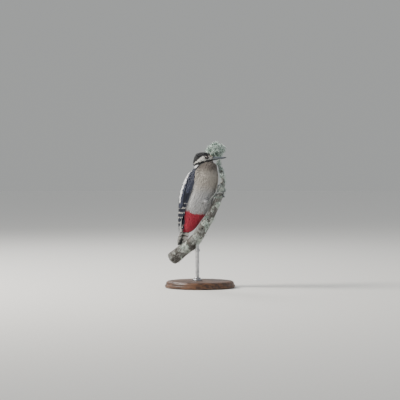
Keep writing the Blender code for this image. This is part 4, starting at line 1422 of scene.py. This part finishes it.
# A forked strand of unit length that grows up Z: flat, tapering, dividing twice.
def makeStrand(seed):
    rng = random.Random(seed)
    points, faces = [], []

    def grow(start, way, length, root, forks):
        way = way.normalized()
        across = way.orthogonal().normalized()
        across.rotate(Matrix.Rotation(rng.uniform(0, 6.28), 3, way))
        flat = way.cross(across)
        end = start + way * length + across * length * rng.uniform(-0.15, 0.15)
        tip = root * (0.72 if forks else 0.2)
        first = len(points)
        for place, w in ((start, root), (end, tip)):
            wide, thin = across * w, flat * w * 0.45
            points.extend([place + wide, place + thin, place - wide, place - thin])
        faces.extend(ringFaces(2, 4, first))
        faces.extend([tuple(range(first + 3, first - 1, -1)), tuple(range(first + 4, first + 8))])
        if forks:
            lean = rng.uniform(0.38, 0.62)
            for sense in (-1, 1):
                grow(end - way * root * 0.3, way + across * sense * lean + flat * rng.uniform(-0.35, 0.35),
                     length * rng.uniform(0.66, 0.9), tip, forks - 1)

    grow(Vector((0, 0, 0)), Vector((0, 0, 1)), 0.40, 0.066, 2)
    return fixNormals(meshFrom(f"strand_{seed}", points, faces))


# Lichen: chalky, dry and matt, pale mint green to grey, with greyer flecks from a fine noise.
def lichenMaterial(name, pale, deep, grain):
    material, add = startMaterial(name, Roughness=0.92, Sheen_Weight=0.08, Specular_IOR_Level=0.2)
    rough = objectNoise(add, 1000 / grain, 4.0)
    patches = objectNoise(add, 190, 2.0)
    colour = overlay(
        add, deep, (patches, 0.40, 0.60, 0.0, 1.0, pale), (rough, 0.55, 0.75, 0.0, 0.3, "#838f7e")
    )
    return endMaterial(material, colour, rough, 0.12 * mm)


# The clump's small heart, a lumpy ball that its strands grow from.
def lichenHeart(name, radius):
    bm = bmesh.new()
    bmesh.ops.create_icosphere(bm, subdivisions=5, radius=radius)
    for vert in bm.verts:
        large, small = noise.noise(vert.co * 0.15 + Vector((1.3, 2.2, 0.4))), noise.noise(vert.co * 0.36)
        vert.co *= 1 + (large * 0.85 + small * 0.45)
        vert.co.z *= 0.9
    heart = bpy.data.meshes.new(name)
    bm.to_mesh(heart)
    bm.free()
    heart.transform(Matrix.Translation(lichen["centre"]))
    heart.vertices.foreach_set("co", toModel(vertexArray(heart)).astype(np.float32).ravel())
    heart.update()
    return heart


def growLichen(barkPiece, twigPiece, tree):
    lobes = partCollection("lobes", [makeLobe(seed) for seed in (1, 2, 3)])
    strands = partCollection("strands", [makeStrand(seed) for seed in (4, 5, 6)])
    crust = (lobes, lichenMaterial("lichen crust, chalky lobes", "#c6cdc6", "#9ca59d", 0.5))
    tufts = (strands, lichenMaterial("lichen tuft, dry forked strands", "#e2ede7", "#98ada3", 0.35))

    def scatter(name, mesh, share, kind, spacing, size, tilt, seed, *nodes):
        setAttribute(mesh, "crust", "FLOAT", share)
        piece = runTree(
            addPiece(name, mesh), tree, Spacing=spacing * mm, Size=size * mm, Tilt=tilt, Seed=seed,
            Region="crust", Parts=kind[0], Finish=kind[1],
        )
        dropAttributes(piece.data, ("crust", "depth", "grain"))
        finishPiece(piece, "lichen", *nodes)

    # crust in patches, mostly on the far side from the bird, and none under the feet
    for name, source, seed in (("lichen_crust", barkPiece, 3), ("lichen_twig_crust", twigPiece, 4)):
        mesh = source.data.copy()
        points, normals = vertexArray(mesh), normalArray(mesh)
        height = toBird(points)[:, 2]
        patches = grainNoise(points, 16.0, 3.0) + 0.35 * grainNoise(points, 5.0, 8.0)
        facing = normals @ np.array([0.75, -0.55, 0.1])
        share = smoothStep(patches + 0.30 * facing, 0.20, 0.42)
        if source is twigPiece:
            share = np.clip(share + 0.55 * smoothStep(height, 38, 70), 0, 1)
        else:
            share = share * (1 - within(height, -6, 32, 3) * smoothStep(-facing, -0.5, 0.1))
        share[np.abs(normals @ np.array([0.83, 0, 0.55])) > 0.97] = 0
        scatter(name, mesh, share, crust, lichen["crustSpacing"], lichen["crustSize"], 0.25, seed)

    # the bushy clump at the end of the twig, in two layers
    for name, wide, spacing, long, seed, nodes in (
        ("lichen_clump", 0.72, 0.90, 0.68, 6, ("perch_lichen",)),
        ("lichen_clump_inner", 0.42, 0.95, 0.8, 7, ()),
    ):
        heart = lichenHeart(name, lichen["radius"] * wide)
        share = np.ones(len(heart.vertices))
        scatter(name, heart, share, tufts, spacing, lichen["strandLength"] * long, 0.55, seed, *nodes)

    # small tufts on the twig and the outer side of the branch
    for name, source, seed, amount in (
        ("lichen_twig_tufts", twigPiece, 12, 0.22), ("lichen_tufts", barkPiece, 13, 0.40),
    ):
        mesh = source.data.copy()
        points, normals = vertexArray(mesh), normalArray(mesh)
        patches = grainNoise(points, 8.0, 12.0)
        facing = normals @ np.array([0.80, -0.45, 0.15])
        share = smoothStep(patches, amount - 0.15, amount + 0.05) * smoothStep(facing, -0.2, 0.5)
        if source is twigPiece:
            high = 0.5 * smoothStep(toBird(points)[:, 2], 50, 84)
            share = smoothStep(patches + high, amount - 0.2, amount)
        scatter(name, mesh, share, tufts, lichen["tuftSpacing"], lichen["tuftSize"], 0.6, seed)


# Feet.

feet = {
    # each foot: height of the ankle, degrees round the branch, and the heel
    "right": (12.5, -58.0, (28.5, -12.8, -3.0)),
    "left": (5.0, 56.0, (25.5, 12.8, -11.0)),
    # each toe: length, heading in degrees from straight up the branch, root radius
    "toes": {
        "1": (9.5, 205.0, 1.25), "2": (13.5, -12.0, 1.35), "3": (17.5, 18.0, 1.45), "4": (19.0, 68.0, 1.45),
    },
    "shankRadii": (1.62, 1.42),
    "tipShare": 0.78,
    "gap": 0.3,
    "clawLength": 7.0,
    "clawTurn": math.radians(100),
    "scuteSpacing": 1.25,  # mm between the horny plates on top of each toe
    "scuteSize": 1.16 / 1.1,
    "sides": 16,
}


# The shank and the toes of one foot: name, path, radii and outward directions.
def footPaths(side):
    sign = -1 if side == "right" else 1
    ankleHeight, round0, heel = feet[side]
    up0 = branchDistance(ankleHeight)
    radius = branchAt([up0])[2][0]
    sole, out = barkPoint([up0], [round0], np.array([feet["gap"] + 1.5]))
    ankle = sole[0] + out[0] * 0.5
    start = np.array(heel) - unit(ankle - heel) * 2.0
    shank = smoothPath([start, (start + ankle) / 2, ankle], 24)
    paths = [("tarsus", shank, np.linspace(*feet["shankRadii"], 24), np.tile(out[0], (24, 1)))]
    for toe, (length, heading, root) in feet["toes"].items():
        t = np.linspace(0, 1, 34)
        run = length * t
        up = up0 + run * math.cos(math.radians(heading))
        turn = np.degrees(run * math.sin(math.radians(heading)) / (radius + root))
        knuckle = 0.55 * np.sin(math.pi * t) ** 2 * (1 - t)
        # three low joints make the toe swell and narrow
        thick = root * (1 - (1 - feet["tipShare"]) * t) * (1 + 0.09 * np.cos(t * 6 * math.pi))
        path, outs = barkPoint(up, round0 + sign * turn, feet["gap"] + root * 0.98 + knuckle)
        paths.append((toe, path, thick, outs))
    return paths


# Scaled toes: a tube along each path, with overlapping plates spaced along its upper side.
def toeTree():
    tree, add, given = startGroup("scaledToes", Spacing=1.2 * mm, Size=1.0, Seed=1, Sides=16)
    thick = add("read", "thick")
    curves = add("GeometryNodeMeshToCurve", {"Mesh": given["Surface"]})
    curves = add("GeometryNodeSetCurveRadius", {"Curve": curves, "Radius": thick})
    ring = add("GeometryNodeCurvePrimitiveCircle", {"Resolution": given["Sides"], "Radius": 1.0})
    tubes = add("GeometryNodeCurveToMesh", {"Curve": curves, "Profile Curve": ring, "Fill Caps": True})
    if "Scale" in tubes.node.inputs:
        tree.links.new(thick, tubes.node.inputs["Scale"])
    spots = add("GeometryNodeCurveToPoints", {"Curve": curves, "Length": given["Spacing"]}, mode="LENGTH")
    tangent = spots.node.outputs["Tangent"]
    size = add("multiply", thick, given["Size"])
    placed = placeParts(add, given, spots, add("readVector", "outward"), tangent, size)
    both = add("GeometryNodeJoinGeometry", tubes)
    tree.links.new(placed, both.node.inputs[0])
    endGroup(add, given, add("GeometryNodeSetShadeSmooth", both))
    return tree


# A horny plate that wraps over the top of a toe of unit radius, its front edge raised over the next.
def makePlate(seed):
    rng = random.Random(seed)
    points, faces, columns = [], [], 9
    outline = ((-0.42, 0.93), (0.05, 1.04), (0.42, 1.075), (0.50, 0.99), (0.40, 0.90), (-0.40, 0.88))
    for x, high in outline:
        for k in range(columns):
            a = math.radians(-78 + 156 * k / (columns - 1))
            bow = 0.10 * math.cos(a) * (x > 0.3)
            points.append((x + bow + rng.uniform(-0.01, 0.01), high * math.sin(a), high * math.cos(a)))
    for a, b in ((r * columns, (r + 1) % len(outline) * columns) for r in range(len(outline))):
        faces += [(a + k, b + k, b + k + 1, a + k + 1) for k in range(columns - 1)]
    ends = [r * columns for r in range(len(outline))]
    faces += [tuple(ends), tuple(end + columns - 1 for end in reversed(ends))]
    return fixNormals(meshFrom(f"plate_{seed}", points, faces))


# Scaly foot skin: greenish slate grey, dull, with pale dusty patches and dark fine cell edges, pebbled below.
def footMaterial():
    material, add = startMaterial("foot, scaly skin", Roughness=0.55, Specular_IOR_Level=0.4)
    cells = add("ShaderNodeTexVoronoi", {"Vector": add("place"), "Scale": 2200}, feature="DISTANCE_TO_EDGE")
    dust = objectNoise(add, 500, 4.0)
    colour = overlay(
        add, "#5b6065", (dust, 0.35, 0.7, 0.0, 1.0, "#858883"), (cells, 0.0, 0.10, 0.55, 0.0, "#3c3d3e")
    )
    return endMaterial(material, colour, add("ease", cells, 0.0, 0.2), 0.06 * mm, 0.8)


# How far a point is from the bark, near a distance along the branch.
def heightOverBark(place, near):
    middle, along, radius = branchAt(np.clip(near + np.arange(-24, 25), 0, branchLength))
    offset = place - middle
    off = np.sum(offset * along, axis=1)
    gaps = np.linalg.norm(offset - along * off[:, None], axis=1) - radius + 10 * np.abs(off)
    return gaps.min()


def makeFeet(finish, horn):
    tree = toeTree()
    plates = partCollection("plates", [makePlate(seed) for seed in (1, 2, 3)])
    for side in ("right", "left"):
        paths = footPaths(side)
        edges, first = [], 0
        for _, path, _, _ in paths:
            edges += [(k, k + 1) for k in range(first, first + len(path) - 1)]
            first += len(path)
        mesh = bpy.data.meshes.new(f"foot_scales_{side}")
        mesh.from_pydata([tuple(p) for _, path, _, _ in paths for p in toModel(path)], edges, [])
        setAttribute(mesh, "thick", "FLOAT", np.concatenate([radii * mm for _, _, radii, _ in paths]))
        setAttribute(mesh, "outward", "FLOAT_VECTOR", np.concatenate([outs for *_, outs in paths]))
        foot = runTree(
            addPiece(f"foot_scales_{side}", mesh), tree, Spacing=feet["scuteSpacing"] * mm,
            Size=feet["scuteSize"], Seed=4, Sides=feet["sides"], Parts=plates, Finish=finish,
        )
        dropAttributes(foot.data, ("thick", "outward", "radius"))
        finishPiece(foot, "leg_scales", f"foot_{side}")
        makeClaws(side, paths[1:], horn)


# Strongly hooked claws: deep and narrow, round above, drawn out to a sharp point that bites the bark.
def makeClaws(side, toes, finish):
    sides, fine, count = feet["sides"], 48, 26
    t = np.linspace(0, 1, count)
    points, faces = [], []
    for name, path, radii, _ in toes:
        end, along = path[-1], unit(path[-1] - path[-2])
        near = branchDistance(end[2])
        middle, direction, _ = (found[0] for found in branchAt([near]))
        out = unit(crosswise(unit(crosswise(end - middle, direction)), along))
        length = feet["clawLength"] * (0.8 if name == "1" else 1.0)
        place = end - along * 0.5 + out * 0.15
        line = [place]
        for k in range(fine):
            angle = feet["clawTurn"] * (k / fine) ** 0.8 - 0.25
            place = place + (along * math.cos(angle) - out * math.sin(angle)) * (length / fine)
            line.append(place)
            if k > fine // 3 and heightOverBark(place, near) < 0.15:
                break
        thick = radii[-1] * (1.12 * (1 - t) ** 0.7 + 0.10)
        first = len(points)
        points += list(ringsAlong(smoothPath(line, count), thick, sides, 0.62, up=tuple(out)).reshape(-1, 3))
        faces += ringFaces(count, sides, first) + capFaces(first, len(points), sides)
    run = np.tile(np.repeat(t, sides), len(toes))
    nodes = [f"claw_{side}_{toe}" for toe in feet["toes"]]
    buildPiece(f"claws_{side}", points, faces, finish, "horn", *nodes, run=run, lip=np.zeros(len(run)))


# Display stand.

stand = {
    # turned base: radius and height of its outline, from the middle below, round the rim, to the middle above
    "baseOutline": [
        (0, 0), (62.5, 0), (64.6, 0.3), (65.7, 1.2), (66.0, 2.4), (66.0, 4.6), (65.6, 5.6), (64.4, 6.2),
        (64.0, 6.8),
        (64.1, 7.6), (64.2, 8.6), (63.6, 10.2), (62.3, 11.6), (60.2, 12.6), (57.0, 13.0), (12.0, 13.0),
        (11.2, 12.8),
        (10.6, 13.0), (0, 13.0),
    ],
    "baseSegments": 224,
    "rodOutline": [  # steel rod with a stepped foot and a collar under the branch
        (0, 13.0), (9.0, 13.0), (9.4, 13.3), (9.4, 14.6), (9.0, 15.0), (6.6, 15.3), (6.2, 15.8), (6.2, 18.2),
        (5.8, 18.7), (4.2, 19.0), (3.5, 19.6), (3.5, 68.0), (3.9, 68.4), (5.0, 68.6), (5.0, 71.2),
        (4.6, 71.6),
        (3.5, 71.8), (3.5, 92.0), (0, 92.0),
    ],
    "rodSegments": 64,
    "rodForward": -6.0,
    "rowHeight": 4.0,  # mm of outline to each row of faces, at most about twice that
    "sharpFrom": math.radians(38),
}


def latheMesh(name, outline, segments, forward=0.0):
    outline = np.array(outline, dtype=float)
    fine = []
    for a, b in zip(outline[:-1], outline[1:]):
        steps = max(1, int(np.linalg.norm(b - a) / stand["rowHeight"]))
        fine += [a + (b - a) * (k + 1) / steps for k in range(steps)]
    turn = np.linspace(0, fullTurn, segments, endpoint=False)
    points = [(forward + r * math.cos(a), r * math.sin(a), height) for r, height in fine[:-1] for a in turn]
    low = len(points)
    points += [(forward, 0, outline[0][1]), (forward, 0, outline[-1][1])]
    faces = ringFaces(len(fine) - 1, segments)
    faces += fanFaces(low, 0, segments) + fanFaces(low + 1, low - segments, segments)
    mesh = fixNormals(meshFrom(name, np.array(points) * mm, faces))
    mesh.set_sharp_from_angle(angle=stand["sharpFrom"])
    return mesh


# Turned walnut: long straight grain with fine pores, oiled to a soft sheen.
def walnutMaterial():
    material, add = startMaterial(
        "walnut, oiled and turned", Specular_IOR_Level=0.45, Coat_Weight=0.15, Coat_Roughness=0.35
    )
    bands = objectNoise(add, 62, 4.0, stretch=(0.16, 1.0, 1.6))
    pores = objectNoise(add, 900, stretch=(0.06, 1.0, 1.0))
    wave = add("sine", add("multiply", bands, 34.0))
    colour = overlay(
        add, "#3a2417", (wave, -0.9, 0.9, 0.0, 1.0, "#5f3f28"), (pores, 0.56, 0.70, 0.0, 0.5, "#24160e")
    )
    rough = add("ease", pores, 0.4, 0.7, 0.38, 0.58)
    return endMaterial(material, colour, add("multiply", pores, -1.0), 0.10 * mm, 0.8, rough)


# Satin steel: fine brushing round the rod and slight cloudiness.
def steelMaterial():
    material, add = startMaterial("steel, satin brushed", Metallic=1.0, Roughness=0.32)
    brushed = objectNoise(add, 2600, 2.0, stretch=(0.2, 0.2, 3.0))
    colour = overlay(add, "#a3a5a8", (objectNoise(add, 90, 2.0), 0.35, 0.65, 0.0, 1.0, "#c4c5c7"))
    return endMaterial(material, colour, brushed, 0.02 * mm, 0.6, add("ease", brushed, 0.3, 0.7, 0.26, 0.42))


def makeStand():
    base = latheMesh("turned_base", stand["baseOutline"], stand["baseSegments"])
    finishPiece(addPiece("turned_base", base, walnutMaterial()), "base_wood", "stand_base")
    rod = latheMesh("steel_rod", stand["rodOutline"], stand["rodSegments"], stand["rodForward"])
    finishPiece(addPiece("steel_rod", rod, steelMaterial()), "rod_steel", "stand_rod")


# Studio.

studio = {
    "lookAt": (0.0, 0.0, 0.165),
    "azimuth": 35.0,  # degrees round from the bird's right side towards its front
    "elevation": 2.0,
    "distance": 4.0,
    "lens": 191.5,
    "floorRadius": 6.0,
    "floorColour": "#dddcd8",
    "horizon": "#ced0cf",
    "overhead": "#f2f5f8",
    "sky": 0.62,
    # lights: metres to the right, towards the camera and up from where it looks, size, watts, colour
    "lights": {
        "keyLight": (-1.35, 0.20, 0.95, 0.8, 56, "#fffaf2"),
        "fillLight": (1.3, 1.2, 0.5, 1.2, 3, "#eef3ff"),
        "rimLight": (-0.5, -1.2, 1.1, 0.6, 12, "#ffffff"),
    },
}


# Matt painted studio floor with a faint roller texture a few millimetres across.
def floorMaterial():
    material, add = startMaterial("studio floor, matt paint", Roughness=0.85, Specular_IOR_Level=0.2)
    grain = objectNoise(add, 180)
    darker = (*(c * 0.97 for c in linear(studio["floorColour"])), 1.0)
    colour = overlay(add, darker, (grain, 0.3, 0.7, 0.0, 1.0, studio["floorColour"]))
    return endMaterial(material, colour, grain, 0.1 * mm, 0.4)


# Puts a lamp or a camera at a place, turned to look at the bird.
def aimed(name, data, place):
    thing = bpy.data.objects.new(name, data)
    bpy.context.scene.collection.objects.link(thing)
    thing.location = place
    thing.rotation_euler = (Vector(studio["lookAt"]) - Vector(place)).to_track_quat("-Z", "Y").to_euler()
    return thing


def makeStudio():
    reach = studio["floorRadius"]
    turns = np.linspace(0, fullTurn, 96, endpoint=False)
    ring = [(reach * math.cos(a), reach * math.sin(a), 0.0) for a in turns]
    floor = addPiece("studioFloor", meshFrom("studioFloor", ring, [tuple(range(96))]), floorMaterial())
    world = bpy.data.worlds.new("studio")
    world.use_nodes = True
    # soft light from above that fades to the floor's own tone at the horizon
    add = partial(addNode, world.node_tree)
    upward = add("ShaderNodeSeparateXYZ", add("ShaderNodeTexCoord", take="Generated"), take=2)
    background = world.node_tree.nodes["Background"]
    tone = overlay(add, studio["horizon"], (upward, 0.0, 0.6, 0.0, 1.0, studio["overhead"]))
    world.node_tree.links.new(tone, background.inputs["Color"])
    background.inputs["Strength"].default_value = studio["sky"]
    bpy.context.scene.world = world
    turn, rise = math.radians(studio["azimuth"]), math.radians(studio["elevation"])
    right = Vector((math.cos(turn), math.sin(turn), 0.0))
    towards = Vector((math.sin(turn), -math.cos(turn), 0.0))
    lookAt, up = Vector(studio["lookAt"]), Vector((0, 0, 1))
    for name, (aside, near, above, size, power, colour) in studio["lights"].items():
        light = bpy.data.lights.new(name, "AREA")
        light.shape = "DISK"
        light.size = size
        light.energy = power
        light.color = linear(colour)
        aimed(name, light, lookAt + right * aside + towards * near + up * above)
    place = lookAt + (towards * math.cos(rise) + up * math.sin(rise)) * studio["distance"]
    camera = aimed("camera", bpy.data.cameras.new("camera"), place)
    camera.data.lens = studio["lens"]
    camera.data.sensor_width = 36.0
    camera.data.clip_end = 30.0
    bpy.context.scene.camera = camera
    print("studio ready")


# Build.

makeStudio()
skin = makeSkin()
markSkin(skin)
skin.data.materials.append(skinMaterial())
growCoat(skin, coatTree(), plumageMaterial())
finishPiece(skin, "buff_plumage", "head", "neck", "trunk", "thigh_left", "thigh_right")
wingFinish = quillMaterial("flight feather, stiff barred vane", quillFinish["black"])
for side, sign in (("right", -1), ("left", 1)):
    makeFlightFeathers(side, sign, wingFinish)
makeTail(quillMaterial("tail feather, stiff pointed vane", quillFinish["tailBlack"]))
print("plumage done")
makeEyes(eyeMaterial(), lidMaterial())
hornFinish = hornMaterial()
makeBill(hornFinish)
makeFeet(footMaterial(), hornFinish)
print("bill, eyes and feet done")
barkFinish = barkMaterial()
barkPiece = makeBranch(barkFinish)
makeEnds(endGrainMaterial())
twigPiece = makeTwig(barkFinish)
growLichen(barkPiece, twigPiece, scatterTree())
makeStand()
print("branch and stand done")
